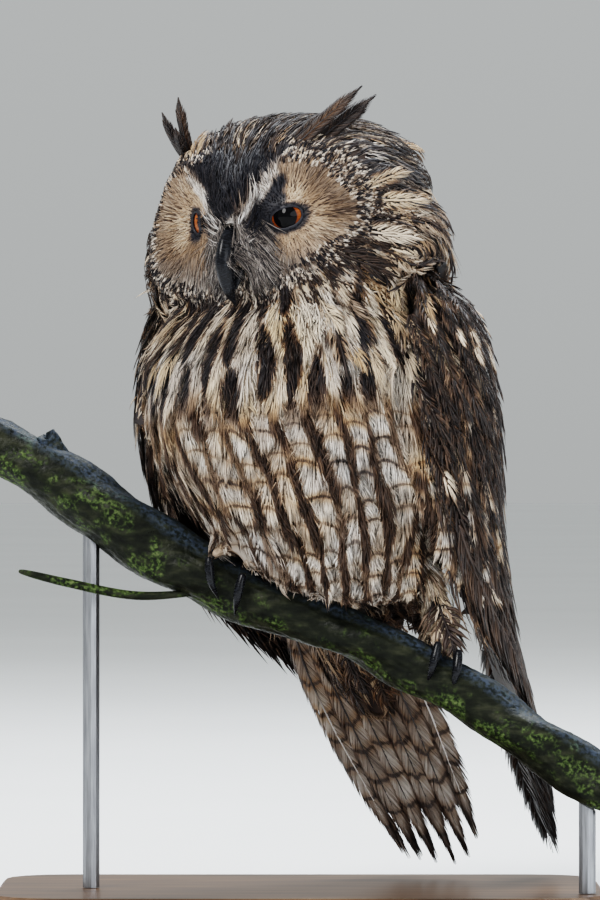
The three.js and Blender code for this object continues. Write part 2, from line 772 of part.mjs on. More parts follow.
// Legs, feet and claws
for (const [name, geometry] of Object.entries(legShapes)) {
  addPiece(bird, name, clearOf(geometry, wholePerch, ...feetList, ...wingList), finishes.plumage);
}
for (const [name, geometry] of Object.entries(feetShapes)) {
  addPiece(bird, name, clearOf(geometry, wholePerch, ...clawList), finishes.face);
}
for (const [name, geometry] of Object.entries(clawShapes)) {
  addPiece(bird, name, clearOf(geometry, wholePerch), finishes.horn);
}

addPiece(bird, 'perch', wholePerch, finishes.bark);
for (const [name, x] of Object.entries(stand.rods)) {
  addPiece(bird, name, clearOf(rodShape(x), wholePerch), finishes.steel);
}
addPiece(object, 'stand_base', standBase(), finishes.wood);

export default object;
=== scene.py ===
"""A long-eared owl, life size, on a cut length of branch that a plain display stand holds.

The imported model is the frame. The owl's flesh becomes one skin, and every feather on it is a lock
of slim solid barbs that grows out of that skin and follows the lie of the plumage. Lengths are in
millimetres, and one function turns them into metres where a mesh is made.
"""

from __future__ import annotations

import logging
import math
from collections.abc import Callable
from dataclasses import dataclass, replace
from enum import Enum, IntEnum
from itertools import product

import bpy
import numpy as np
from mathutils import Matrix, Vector
from mathutils.bvhtree import BVHTree

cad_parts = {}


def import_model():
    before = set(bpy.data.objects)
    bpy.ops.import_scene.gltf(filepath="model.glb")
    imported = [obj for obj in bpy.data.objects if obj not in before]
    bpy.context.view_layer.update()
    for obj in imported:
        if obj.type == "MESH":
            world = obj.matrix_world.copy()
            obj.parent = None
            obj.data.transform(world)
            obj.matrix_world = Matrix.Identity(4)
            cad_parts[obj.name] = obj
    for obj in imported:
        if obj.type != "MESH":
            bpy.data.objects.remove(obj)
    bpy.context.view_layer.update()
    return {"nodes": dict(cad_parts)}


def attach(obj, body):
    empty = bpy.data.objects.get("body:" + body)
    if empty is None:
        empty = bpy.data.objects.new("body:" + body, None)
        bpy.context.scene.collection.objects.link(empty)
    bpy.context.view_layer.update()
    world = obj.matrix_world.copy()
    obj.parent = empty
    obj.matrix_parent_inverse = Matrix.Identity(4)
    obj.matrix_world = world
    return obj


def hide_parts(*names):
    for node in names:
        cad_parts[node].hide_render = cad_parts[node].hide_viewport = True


LOG = logging.getLogger("owl")

MM = 0.001
ROOT = "root"
PERCH_FORWARD = 26
PATCH = 0.003
MOST_TRIANGLES = 200_000
TOP = 400
TAIL_LINE = ((6, 37, 134), (58, 80, 19))
MARKS = ("tone", "warm", "bars", "barring")

Array = np.ndarray
Pair = tuple[Array, Array]
Values = dict[str, Array]
Paint = Callable[[Array, Array, Values], tuple[Array, ...]]
Thing = bpy.types.Object
Nodes = dict[str, Thing]
Material = bpy.types.Material
Socket = bpy.types.NodeSocket


def unit(vectors: Array) -> Array:
    """Returns the vectors at length one."""
    return vectors / np.maximum(np.linalg.norm(vectors, axis=-1, keepdims=True), 1e-9)


def smooth(low: float, high: float, x: Array) -> Array:
    """Returns a soft step from 0 at low to 1 at high."""
    t = np.clip((x - low) / (high - low), 0, 1)
    return t * t * (3 - 2 * t)


def fade(low: float, high: float, x: Array) -> Array:
    """Returns a soft step from 1 at low to 0 at high."""
    return 1 - smooth(low, high, x)


def bell(x: Array, width: float) -> Array:
    """Returns a bell that is 1 at zero and fades over the width."""
    return np.exp(-((x / width) ** 2))


def dot(a: Array, b: Array) -> Array:
    """Returns the dot product over the last axis, which it keeps."""
    return np.sum(a * b, axis=-1, keepdims=True)


def in_frame(points: list) -> Array:
    """Returns points of the bird or its perch, moved to where they stand over the base."""
    return np.asarray(points, float) + np.array([0, -PERCH_FORWARD, 0])


def curve(points: Array, t: Array) -> Array:
    """Reads a smooth line through evenly spaced points or values.

    Args:
        points: the points or plain values that the line passes through.
        t: where to read it, from 0 at the first point to 1 at the last.

    Returns:
        The points or values there.
    """
    given = np.asarray(points, float)
    knots = np.concatenate([[2 * given[0] - given[1]], given, [2 * given[-1] - given[-2]]])
    q = np.clip(t, 0, 1) * (len(given) - 1)
    i = np.minimum(np.floor(q).astype(int), len(given) - 2)
    f = (q - i).reshape(np.shape(q) + (1,) * (given.ndim - 1))
    a, b, c, d = (knots[i + k] for k in range(4))
    return 0.5 * (2 * b + (c - a) * f + (2 * a - 5 * b + 4 * c - d) * f**2 + (3 * b - a - 3 * c + d) * f**3)


def blend(a: Array | float, b: Array | float, share: Array) -> Array:
    """Returns the value that lies a share of the way from one value to another."""
    return a + (b - a) * share


def steps_along(start: Array, *moves: Pair) -> Array:
    """Returns points moved from a start by lengths along directions."""
    return sum((way * np.asarray(length)[..., None] for way, length in moves), start)


@dataclass(frozen=True)
class Axes:
    """Turned axes of the body or the head, with the owl's own left, forward and up."""

    centre: Array
    left: Array
    forward: Array
    up: Array

    @classmethod
    def turned(cls, centre: list, yaw: float, pitch: float = 0, roll: float = 0) -> Axes:
        """Makes axes that face the viewer when all angles are zero.

        Args:
            centre: the origin of the axes, in the bird's own place.
            yaw: the turn to the viewer's left, in degrees.
            pitch: how far they look down, in degrees.
            roll: how far the left side is raised, in degrees.

        Returns:
            The axes.
        """
        y, p, r = (math.radians(a) for a in (yaw, pitch, roll))
        left = np.array([math.cos(y), -math.sin(y), 0])
        level = np.array([-math.sin(y), -math.cos(y), 0])
        z = np.array([0, 0, 1])
        forward = level * math.cos(p) - z * math.sin(p)
        raised = z * math.cos(p) + level * math.sin(p)
        return cls(
            in_frame(centre),
            left * math.cos(r) + raised * math.sin(r),
            forward,
            raised * math.cos(r) - left * math.sin(r),
        )

    def place(self, left: Array, forward: Array, up: Array) -> Array:
        """Returns the point or points at these distances along the axes."""
        l, f, u = (np.asarray(x, float)[..., None] for x in (left, forward, up))
        return self.centre + l * self.left + f * self.forward + u * self.up

    def read(self, points: Array) -> Array:
        """Returns how far left, forward and up the points lie."""
        return (points - self.centre) @ np.stack([self.left, self.forward, self.up], axis=1)


BODY = Axes.turned([2, 8, 0], yaw=27)
HEAD = Axes.turned([-4.4, 4, 280], yaw=31, pitch=5, roll=2.5)


class Grain:
    """Smooth seeded noise through space, from -1 to 1."""

    def __init__(self, seed: int, cells: int = 29) -> None:
        """Fills the lattice that the noise is read from."""
        self.cells = cells
        self.lattice = np.random.default_rng(seed).uniform(-1, 1, (cells,) * 3)

    def at(self, points: Array, size: float | tuple[float, float, float]) -> Array:
        """Reads the noise.

        Args:
            points: where to read it.
            size: the size of its features, alike or one for each direction.

        Returns:
            One value for each point.
        """
        q = np.asarray(points, float) / np.asarray(size, float)
        low = np.floor(q).astype(int)
        f = q - low
        f = f * f * (3 - 2 * f)
        total = np.zeros(q.shape[:-1])
        for corner in np.ndindex(2, 2, 2):
            i = (low + corner) % self.cells
            weight = np.prod(np.where(np.array(corner) == 1, f, 1 - f), axis=-1)
            total += weight * self.lattice[i[..., 0], i[..., 1], i[..., 2]]
        return total


GRAIN = Grain(7)


def make_mesh(
    name: str,
    points: Array,
    triangles: Array,
    marks: Values | None = None,
    places: Array | None = None,
) -> Thing:
    """Makes a smooth-shaded mesh object from arrays in millimetres.

    Args:
        name: the piece's name.
        points: its points.
        triangles: the three points of each triangle.
        marks: named values, one for each point, that its finish reads.
        places: one place for each point on the bake map.

    Returns:
        The object, linked to the scene.
    """
    mesh = bpy.data.meshes.new(name)
    mesh.vertices.add(len(points))
    mesh.vertices.foreach_set("co", (points * MM).astype(np.float32).ravel())
    corners = triangles.astype(np.int32).ravel()
    mesh.loops.add(len(corners))
    mesh.loops.foreach_set("vertex_index", corners)
    mesh.polygons.add(len(triangles))
    mesh.polygons.foreach_set("loop_start", np.arange(0, len(corners), 3, dtype=np.int32))
    mesh.polygons.foreach_set("use_smooth", np.ones(len(triangles), bool))
    if places is not None:
        layer = mesh.uv_layers.new(name="OFBake")
        layer.data.foreach_set("uv", places[corners].astype(np.float32).ravel())
    for key, values in (marks or {}).items():
        attribute = mesh.attributes.new(key, "FLOAT", "POINT")
        attribute.data.foreach_set("value", values.astype(np.float32).ravel())
    mesh.update(calc_edges=True)
    mesh.validate()
    thing = bpy.data.objects.new(name, mesh)
    bpy.context.scene.collection.objects.link(thing)
    return thing


def hand_over(
    thing: Thing,
    material: Material,
    slot: str,
    *nodes: str,
) -> Thing:
    """Dresses a piece, rides it on the one body and hides the solid nodes that it stands for.

    Args:
        thing: the finished piece.
        material: its finish.
        slot: the record's material slot that the finish belongs to; it is not used.
        nodes: the solid nodes that it replaces.

    Returns:
        The piece.
    """
    thing.data.materials.clear()
    thing.data.materials.append(material)
    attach(thing, ROOT)
    if nodes:
        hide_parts(*nodes)
    LOG.info("%s: %d triangles", thing.name, len(thing.data.polygons))
    return thing


def bands(rows: int, columns: int, closed: bool = False) -> Array:
    """Returns the triangles that join rings of points in turn.

    Args:
        rows: how many rings there are.
        columns: how many points a ring has.
        closed: whether the last ring joins the first.

    Returns:
        The triangles.
    """
    i = np.arange(columns)
    j = (i + 1) % columns
    a = np.arange(rows if closed else rows - 1)[:, None] * columns
    b = (a + columns) % (rows * columns)
    corners = np.array([[a + i, a + j, b + j], [a + i, b + j, b + i]])
    return corners.transpose(2, 0, 3, 1).reshape(-1, 3)


def moulded(rows: int, columns: int, place: Callable[[Array, Array], Array]) -> Pair:
    """Makes a closed form that a rule lays out in rings between two poles.

    Args:
        rows: how many steps there are from pole to pole.
        columns: how many points a ring has.
        place: the rule, from share of the way and angle to points.

    Returns:
        The points and the triangles.
    """
    i = np.arange(columns)
    share, angle = np.meshgrid(np.arange(1, rows) / rows, i / columns * 2 * math.pi, indexing="ij")
    first, last = (place(np.full((1, columns), end), angle[:1]).mean(axis=1) for end in (0.0, 1.0))
    points = np.concatenate([first, place(share, angle).reshape(-1, 3), last])
    j, ring = (i + 1) % columns, 1 + (rows - 2) * columns
    caps = [[0 * i, 1 + j, 1 + i], [ring + i, ring + j, 0 * i + len(points) - 1]]
    top, end = (np.stack(cap, axis=1) for cap in caps)
    return facing_out(points, np.concatenate([top, 1 + bands(rows - 1, columns), end]))


def facing_out(points: Array, triangles: Array) -> Pair:
    """Returns the closed form with its triangles turned outwards."""
    a, b, c = (points[triangles[:, k]] for k in range(3))
    if np.sum(np.cross(a, b) * c) < 0:
        triangles = triangles[:, ::-1]
    return points, triangles


def tube(points: Array, widths: list, depths: list, across: Array, rows: int, columns: int) -> Pair:
    """Makes a round bar along a smooth line, with rounded ends.

    Args:
        points: the points of the line.
        widths: half widths down its length.
        depths: half depths down its length.
        across: the direction of the width.
        rows: steps down the line.
        columns: points around it.

    Returns:
        The points and the triangles.
    """

    def place(share: Array, angle: Array) -> Array:
        """Returns the points of the rings."""
        ring = np.sqrt(np.maximum(0, np.sin(share * math.pi)))
        t = (1 - np.cos(share * math.pi)) / 2
        ahead = unit(curve(points, t + 0.01) - curve(points, t - 0.01))
        side = unit(across - dot(ahead, across) * ahead)
        wide, deep = curve(widths, t) * np.cos(angle), curve(depths, t) * np.sin(angle)
        return steps_along(curve(points, t), (side, ring * wide), (np.cross(ahead, side), ring * deep))

    return moulded(rows, columns, place)


def joined(*forms: Pair) -> Pair:
    """Returns several forms as one set of points and triangles."""
    starts = np.cumsum([0] + [len(points) for points, _ in forms])
    triangles = [triangles + start for (_, triangles), start in zip(forms, starts)]
    return np.concatenate([points for points, _ in forms]), np.concatenate(triangles)


def node_form(node: Thing, swell: float = 0) -> Pair:
    """Reads a solid node as arrays in millimetres.

    Args:
        node: the node's object, which stays as it is.
        swell: how far its points move out along their normals.

    Returns:
        The points and the triangles.
    """
    mesh = node.data
    mesh.calc_loop_triangles()
    points = np.zeros(len(mesh.vertices) * 3, np.float32)
    mesh.vertices.foreach_get("co", points)
    triangles = np.zeros(len(mesh.loop_triangles) * 3, np.int32)
    mesh.loop_triangles.foreach_get("vertices", triangles)
    points, triangles = points.reshape(-1, 3) / MM, triangles.reshape(-1, 3)
    keys, same = np.unique(np.round(points, 3), axis=0, return_inverse=True)
    triangles = same.reshape(-1)[triangles]
    return keys + normals_of(keys, triangles) * swell, triangles


def normals_of(points: Array, triangles: Array) -> Array:
    """Returns the mean outward direction at every point."""
    a, b, c = (points[triangles[:, k]] for k in range(3))
    face = np.cross(b - a, c - a)
    total = np.zeros_like(points, dtype=float)
    for k in range(3):
        np.add.at(total, triangles[:, k], face)
    return unit(total)


def settled(values: Array, triangles: Array, rounds: int) -> Array:
    """Averages values of a mesh's points with their neighbours.

    Args:
        values: one value or vector for each point.
        triangles: the mesh's triangles.
        rounds: how many times they are averaged.

    Returns:
        The smoothed values.
    """
    edges = np.concatenate([triangles[:, pair] for pair in ([0, 1], [1, 2], [2, 0])])
    count = np.bincount(edges[:, 0], minlength=len(values)).reshape((-1,) + (1,) * (values.ndim - 1))
    for _ in range(rounds):
        total = np.zeros_like(values, dtype=float)
        np.add.at(total, edges[:, 0], values[edges[:, 1]])
        values = (values + total / np.maximum(count, 1)) / 2
    return values


@dataclass(frozen=True)
class FaceMap:
    """The owl's face in head coordinates: two discs, their rim, the eyes and the brow."""

    disc_left: float = 23
    disc_up: float = -7
    half_width: float = 27
    half_height: float = 32
    chin: float = -37
    slope_left: float = 0.6
    slope_right: float = 0.28
    eye_left: float = 17
    eye_forward: float = 27.5
    eye_up: float = -0.5
    eye_radius: float = 9.5
    bridge_left: float = -1.5
    bridge_half: float = 11.5
    bridge_forward: float = 45

    def reach(self, left: Array, up: Array) -> Array:
        """Returns how far out of its disc a point lies: 1 at the rim."""
        across = (np.abs(left) - self.disc_left) / self.half_width
        high = (up - self.disc_up) / self.half_height
        slope = np.where(left > 0, self.slope_left, self.slope_right)
        slant = self.chin + np.abs(left) * slope
        return np.maximum(np.hypot(across, high), 1 + (slant - up) / self.half_height)

    def eye(self, side: float) -> Array:
        """Returns the middle of the eye on a side, 1 for the owl's left."""
        return HEAD.place(side * self.eye_left, self.eye_forward, self.eye_up)


FACE = FaceMap()


class Flesh(IntEnum):
    """The stretches of flesh under the plumage."""

    HEAD = 0
    DISC = 1
    NECK = 2
    TRUNK = 3
    LEG = 4
    FOOT = 5
    WING_LEFT = 6
    WING_RIGHT = 7
    RUMP = 8


@dataclass(frozen=True)
class WingForm:
    """A folded wing: a line down its middle and how wide and thick it is along it."""

    name: str
    side: float
    line: tuple
    half_width: tuple
    half_thickness: tuple = (5, 10, 9, 6.5, 3.6, 2.2, 1)
    length: float = 265
    trunk_round: float = 64
    axis_back: float = 8
    thins: float = 0.86

    def frame(self, y: Array) -> tuple[Array, Array, Array, Array]:
        """Returns the middle, and the directions ahead, sideways to the front and out, at shares y."""
        line = in_frame(self.line)
        middle = curve(line, y)
        ahead = unit(curve(line, y + 0.01) - curve(line, y - 0.01))
        out = unit(middle - BODY.place(0 * y, 0 * y - self.axis_back, middle[..., 2]))
        out = unit(out - dot(out, ahead) * ahead)
        return middle, ahead, np.cross(ahead, out) * self.side, out

    def surface(self, x: Array, y: Array, lift: Array | float = 0) -> Pair:
        """Finds places over the outer face.

        Args:
            x: across, from -1 at the back edge to 1 at the front edge.
            y: down the wing, from 0 at the shoulder to 1 at the tip.
            lift: how far they stand out from the face.

        Returns:
            The points, and the directions out of the face there.
        """
        middle, _, side, out = self.frame(y)
        across = curve(self.half_width, y) * x
        thick = curve(self.half_thickness, y) * np.sqrt(1 - self.thins * x * x)
        wrap = across**2 / (2 * self.trunk_round)
        points = steps_along(middle, (side, across), (out, thick + lift - wrap))
        return points, unit(steps_along(out, (side, across / self.trunk_round)))

    def pad(self, end: float, share: float) -> Pair:
        """Makes the flesh of the upper wing as a closed form.

        Args:
            end: how far down the wing the flesh reaches.
            share: how much of the wing's thickness it has.

        Returns:
            The points and the triangles.
        """

        def place(along: Array, angle: Array) -> Array:
            """Returns the points of the rings."""
            y = 0.02 + (end - 0.02) * along
            ring = np.sqrt(np.maximum(0, np.sin(along * math.pi)))
            thick = curve(self.half_thickness, y)
            drop = -thick * (1 - share * ring * np.sin(angle)) - 0.5
            points, _ = self.surface(0.95 * ring**0.7 * np.cos(angle), y)
            return steps_along(points, (self.frame(y)[3], drop))

        return moulded(40, 32, place)


WINGS = (
    WingForm(
        "left", 1,
        (
            (49, -4, 256), (58, -14, 236), (69, -9, 196), (75, 8, 152),
            (85, 42, 100), (94, 64, 56), (104, 86, 18),
        ),
        (8, 27, 37, 37, 26, 17, 5),
    ),
    WingForm(
        "right", -1,
        (
            (-36, 40, 256), (-49, 42, 236), (-51, 50, 196), (-28, 61, 152),
            (18, 73, 106), (37, 83, 70), (53, 93, 34),
        ),
        (8, 27, 34, 30, 18, 12, 4),
    ),
)


class Skin:
    """The one skin that all plumage grows from, inside the flesh nodes by the coat's depth."""

    voxel: float = 1.5
    swell: float = 0.45
    smoothing: int = 10
    nodes: dict[Flesh, tuple[str, ...]] = {
        Flesh.HEAD: ("head",),
        Flesh.DISC: ("facial_disc",),
        Flesh.NECK: ("neck",),
        Flesh.TRUNK: ("trunk",),
        Flesh.LEG: ("leg_left", "leg_right"),
        Flesh.FOOT: ("foot_left", "foot_right"),
    }
    depths: tuple = (3.2, 1.3, 4.6, 5.5, 2.6, 0.8, 0.2, 0.2, 0.8)
    wing_flesh: tuple[float, float] = (0.86, 0.75)
    rump: tuple = (((11, 30, 132), (24, 46, 98), (33, 55, 76)), (16, 15, 7), (11, 7, 2.5))
    fuller: tuple = (((-60, -8, 258), 34, 6), ((-64, -8, 238), 28, 4))
    hem: tuple[float, float, float] = (127, 0.006, 24)
    hem_front: float = -12

    def __init__(self, nodes: Nodes) -> None:
        """Joins the flesh into one shell and sinks it by the depth of the coat.

        Args:
            nodes: the solid nodes by name.
        """
        forms = {
            kind: joined(*(node_form(nodes[name], self.swell) for name in names))
            for kind, names in self.nodes.items()
        }
        forms[Flesh.DISC] = joined(forms[Flesh.DISC], *(eye.cushion() for eye in EYES))
        forms[Flesh.WING_LEFT], forms[Flesh.WING_RIGHT] = (w.pad(*self.wing_flesh) for w in WINGS)
        line, widths, depths = self.rump
        forms[Flesh.RUMP] = tube(in_frame(line), widths, depths, BODY.left, 14, 16)
        points, triangles = self.shell(joined(*forms.values()))
        trees = {k: BVHTree.FromPolygons(p.tolist(), t.tolist()) for k, (p, t) in forms.items()}
        places = [Vector(p) for p in points]
        away = np.array([[trees[kind].find_nearest(p)[3] for p in places] for kind in Flesh])
        self.kind = np.argmin(away, axis=0)
        depth = settled(np.array(self.depths)[self.kind], triangles, 12)
        out = unit(settled(normals_of(points, triangles), triangles, 3))
        points = steps_along(points, (out, -(depth + self.swell)))
        low, rise, lowest_x = self.hem
        hangs = (self.kind == Flesh.TRUNK) & (points[:, 1] < self.hem_front)
        edge = np.where(hangs, low + rise * (points[:, 0] - lowest_x) ** 2, 0)
        points[:, 2] = np.maximum(points[:, 2], edge)
        for middle, reach, height in self.fuller:
            away = np.linalg.norm(points - middle, axis=1)
            points = steps_along(points, (out, height * fade(0, reach, away)))
        points = self.bridged(points)
        for eye in EYES:
            points = eye.bedded(points)
        normals = unit(settled(normals_of(points, triangles), triangles, 4))
        lids = joined(*(eye.lids() for eye in EYES))
        self.points, self.triangles = joined((points, triangles), lids)
        self.normals = np.concatenate([normals, normals_of(*lids)])
        self.kind = np.concatenate([self.kind, np.full(len(lids[0]), Flesh.DISC)])

    def bridged(self, points: Array) -> Array:
        """Returns the points with the bridge between the eyes brought forward."""
        left, forward, up = HEAD.read(points).T
        across = np.abs(left - FACE.bridge_left) / FACE.bridge_half
        ridge = fade(0.7, 1.05, across) * smooth(-15, -7, up) * fade(4, 17, up) * smooth(20, 30, forward)
        short = np.maximum(0, FACE.bridge_forward - 3 * across**2 - forward)
        return points + HEAD.forward * (short * ridge)[:, None]

    def shell(self, form: Pair) -> Pair:
        """Melts overlapping forms into one closed shell.

        Args:
            form: the joined forms.

        Returns:
            The shell's points and triangles.
        """
        rough = make_mesh("shell", *form)
        melt = rough.modifiers.new("melt", "REMESH")
        melt.mode = "VOXEL"
        melt.voxel_size = self.voxel * MM
        rub = rough.modifiers.new("rub", "SMOOTH")
        rub.factor = 0.5
        rub.iterations = self.smoothing
        mesh = bpy.data.meshes.new_from_object(rough.evaluated_get(bpy.context.evaluated_depsgraph_get()))
        holder = bpy.data.objects.new("melted", mesh)
        shell = node_form(holder)
        bpy.data.objects.remove(holder)
        bpy.data.meshes.remove(mesh)
        bpy.data.objects.remove(rough)
        return shell


@dataclass
class Spots:
    """Places on the skin, each with its outward direction and its kind of flesh."""

    points: Array
    normals: Array
    kinds: Array

    def chosen(self, keep: Array) -> Spots:
        """Returns those spots that a mask keeps."""
        return Spots(self.points[keep], self.normals[keep], self.kinds[keep])

    @property
    def head(self) -> Array:
        """Returns their head coordinates."""
        return HEAD.read(self.points)


class Ground:
    """The skin as something to stand on: it finds the nearest places and strews places over it."""

    tries: float = 5

    def __init__(self, skin: Skin) -> None:
        """Builds the search tree over the skin."""
        self.skin = skin
        self.tree = BVHTree.FromPolygons(skin.points.tolist(), skin.triangles.tolist())

    def spots(self, points: Array, faces: Array) -> Spots:
        """Returns places that lie on known triangles of the skin."""
        corners = self.skin.triangles[faces]
        return Spots(points, unit(self.skin.normals[corners].mean(axis=1)), self.skin.kind[corners[:, 0]])

    def settle(self, points: Array) -> Pair:
        """Returns the nearest places on the skin and the outward directions there."""
        found = [self.tree.find_nearest(point) for point in points.tolist()]
        near = self.spots(np.array([f[0] for f in found]), np.array([f[2] for f in found]))
        return near.points, near.normals

    def scatter(self, keep: Array, spacing: float, seed: int) -> Spots:
        """Strews places over the skin with no two closer than a spacing.

        Args:
            keep: which of the skin's points may carry them.
            spacing: the least distance between two of them.
            seed: the start of the random draws.

        Returns:
            The places.
        """
        rng = np.random.default_rng(seed)
        corners = self.skin.points[self.skin.triangles]
        a, b = corners[:, 1] - corners[:, 0], corners[:, 2] - corners[:, 0]
        area = np.linalg.norm(np.cross(a, b), axis=1) / 2 * keep[self.skin.triangles].mean(axis=1)
        many = int(self.tries * area.sum() / spacing**2) + 1
        face = rng.choice(len(area), many, p=area / area.sum())
        share = rng.dirichlet((1, 1, 1), many)
        points = (corners[face] * share[..., None]).sum(axis=1)
        taken: dict[tuple[int, int, int], list[int]] = {}
        kept, places = [], points.tolist()
        for n, (i, j, k) in enumerate(np.floor(points / spacing).astype(int).tolist()):
            x, y, z = places[n]
            near = (taken.get((i + a, j + b, k + c), ()) for a, b, c in product((-1, 0, 1), repeat=3))
            found = (places[m] for cell in near for m in cell)
            if all((a - x) ** 2 + (b - y) ** 2 + (c - z) ** 2 >= spacing**2 for a, b, c in found):
                taken.setdefault((i, j, k), []).append(n)
                kept.append(n)
        return self.spots(points[kept], face[kept])

    def cast(self, starts: Array, ways: Array) -> tuple[Spots, Array]:
        """Returns where rays meet the skin, and which rays met it."""
        found = [self.tree.ray_cast(start, way) for start, way in zip(starts.tolist(), ways.tolist())]
        met = np.array([place is not None for place, *_ in found])
        places = np.array([place or (0, 0, 0) for place, *_ in found])
        return self.spots(places, np.array([face or 0 for _, _, face, _ in found])), met


@dataclass(frozen=True)
class Comb:
    """The lie of the coat: which way a feather points at any place."""

    crown_start: tuple[float, float, float] = (0, 42, 6)
    lores: tuple[float, float, float] = (0, 40, -10)
    eye_forward: float = 30
    spread: float = 0.16
    waver: float = 0.22

    def lie(self, points: Array, normals: Array) -> Array:
        """Returns the direction of the coat along the skin.

        Args:
            points: places on the skin.
            normals: the outward directions there.

        Returns:
            One direction for each place.
        """
        head, body = HEAD.read(points), BODY.read(points)
        side = np.where(head[:, 0] > 0, 1, -1)
        from_eye = unit(points - HEAD.place(side * FACE.eye_left, self.eye_forward, FACE.eye_up))
        from_lores = unit(points - HEAD.place(*self.lores))
        from_crown = unit(points - HEAD.place(*self.crown_start))
        from_eye = blend(from_eye, from_lores, fade(9, 14, np.abs(head[:, :1] - FACE.bridge_left)))
        reach = FACE.reach(head[:, 0], head[:, 2])
        in_face = (fade(0.98, 1.25, reach) * smooth(8, 16, head[:, 1]))[:, None]
        down = BODY.left * (body[:, :1] / 60 * self.spread) - [0, 0, 1]
        down = unit(down - BODY.forward * (0.35 * fade(-10, 40, body[:, 1:2])))
        way = unit(blend(down, from_crown, smooth(-40, -14, head[:, 2:])))
        way = blend(way, from_eye, in_face)
        for wing in WINGS:
            way = self.along_wing(wing, points, way)
        way = unit(self.along_tail(points, way))
        waver = np.stack([GRAIN.at(points + shift, 16) for shift in (0, 91, 173)], axis=-1)
        way = unit(way + self.waver * waver * (1 - 0.7 * in_face))
        return unit(way - dot(way, normals) * normals)

    def along_wing(self, wing: WingForm, points: Array, way: Array) -> Array:
        """Returns the lie, turned along a folded wing wherever the wing lies."""
        y = np.linspace(0, 1, 40)
        middle, ahead, _, _ = wing.frame(y)
        gaps = np.linalg.norm(points[:, None] - middle, axis=-1) / (curve(wing.half_width, y) + 6)
        return blend(unit(way), ahead[np.argmin(gaps, axis=1)], fade(0.8, 1.15, gaps.min(axis=1))[:, None])

    def along_tail(self, points: Array, way: Array) -> Array:
        """Returns the lie, turned along the tail near its root."""
        root, tip = in_frame(TAIL_LINE)
        near = bell(np.linalg.norm(points - (root + (tip - root) * 0.3), axis=-1), 26)[:, None]
        return blend(unit(way), unit(tip - root), near)


COMB = Comb()


class Locks:
    """Slim solid spikes and stems, gathered into one coat piece."""

    spike = np.array(
        [
            [0, 1, 2], [0, 3, 4], [0, 4, 1], [0, 2, 3], [2, 5, 3],
            [1, 4, 2], [4, 5, 2], [3, 6, 4], [3, 5, 6], [4, 6, 5],
        ]
    )
    spike_patch = np.array([[-0.42, 0], [0.42, 0], [0, 0], [-0.34, 0.5], [0.34, 0.5], [0, 0.5], [0, 1]])
    spike_height: float = 0.17
    spike_taper: float = 0.85

    def __init__(self, name: str) -> None:
        """Starts an empty coat piece."""
        self.name = name
        self.stock: list[tuple[Array, ...]] = []
        self.count = 0

    def take(self, points: Array, faces: Array, marks: Array, at: Array) -> None:
        """Adds alike closed forms.

        Args:
            points: the points of each form, in an array of forms by points by 3.
            faces: the triangles of one form.
            marks: each point's marks.
            at: each point's place on the bake map.
        """
        number, size = points.shape[:2]
        faces = faces[None] + self.count + np.arange(number)[:, None, None] * size
        parts = zip((points, faces, marks, at), (3, 3, len(MARKS), 2))
        self.stock.append(tuple(part.reshape(-1, width) for part, width in parts))
        self.count += number * size

    def spikes(self, line: Array, up: Array, width: Array, marks: Array, place: Array) -> None:
        """Adds spikes that each run through a root, a middle and a tip.

        Args:
            line: root, middle and tip of each spike, spikes by 3 by 3.
            up: the outward direction at each.
            width: the width of each at its root.
            marks: its marks at root, middle and tip.
            place: its place on the bake map.
        """
        root, middle, tip = line[:, 0], line[:, 1], line[:, 2]
        ahead = unit(tip - root)
        side = unit(np.cross(ahead, up)) * width[:, None] / 2
        rise = unit(np.cross(side, ahead)) * width[:, None] * self.spike_height
        slim = side * self.spike_taper
        points = [root - side, root + side, root + rise, middle - slim, middle + slim, middle + rise, tip]
        at = place[:, None, :] + self.spike_patch * PATCH
        self.take(np.stack(points, axis=1), self.spike, marks[:, [0, 0, 0, 1, 1, 1, 2]], at)

    def stems(self, line: Array, radius: Array, marks: Array, place: Array) -> None:
        """Adds tapered shafts with four sides.

        Args:
            line: the points down each shaft, shafts by points by 3.
            radius: its radius at each point.
            marks: its marks there.
            place: its place on the bake map.
        """
        number, steps = line.shape[:2]
        ahead = unit(np.gradient(line, axis=1))
        side = unit(np.cross(ahead, [0.03, 0.2, 1]))[:, :, None]
        rise = np.cross(side[:, :, 0], ahead)[:, :, None]
        i = np.arange(4)
        angle = (i * math.pi / 2)[:, None]
        around = side * np.cos(angle) + rise * np.sin(angle)
        rings = line[:, :, None] + around * radius[:, :, None, None]
        points = np.concatenate([rings.reshape(number, -1, 3), line[:, :1], line[:, -1:]], axis=1)
        j, end = (i + 1) % 4, 4 * (steps - 1)
        caps = [[0 * i + 4 * steps, j, i], [end + i, end + j, 0 * i + 4 * steps + 1]]
        root, tip = (np.stack(cap, axis=1) for cap in caps)
        across = np.tile([-0.4, -0.1, 0.4, 0.1], steps)
        patch = np.stack([across, np.repeat(np.linspace(0, 1, steps), 4)], axis=1)
        patch = np.concatenate([patch, [[0, 0], [0, 1]]]) * PATCH
        order = [*np.repeat(np.arange(steps), 4), 0, steps - 1]
        _, faces = facing_out(points[0], np.concatenate([root, bands(steps, 4), tip]))
        self.take(points, faces, marks[:, order], place[:, None, :] + patch)

    def build(self) -> Thing:
        """Makes the mesh of everything gathered."""
        points, faces, marks, at = (np.concatenate(parts) for parts in zip(*self.stock))
        if len(faces) > MOST_TRIANGLES:
            raise ValueError(f"{self.name} has {len(faces)} triangles")
        return make_mesh(self.name, points, faces, dict(zip(MARKS, marks.T)), at)


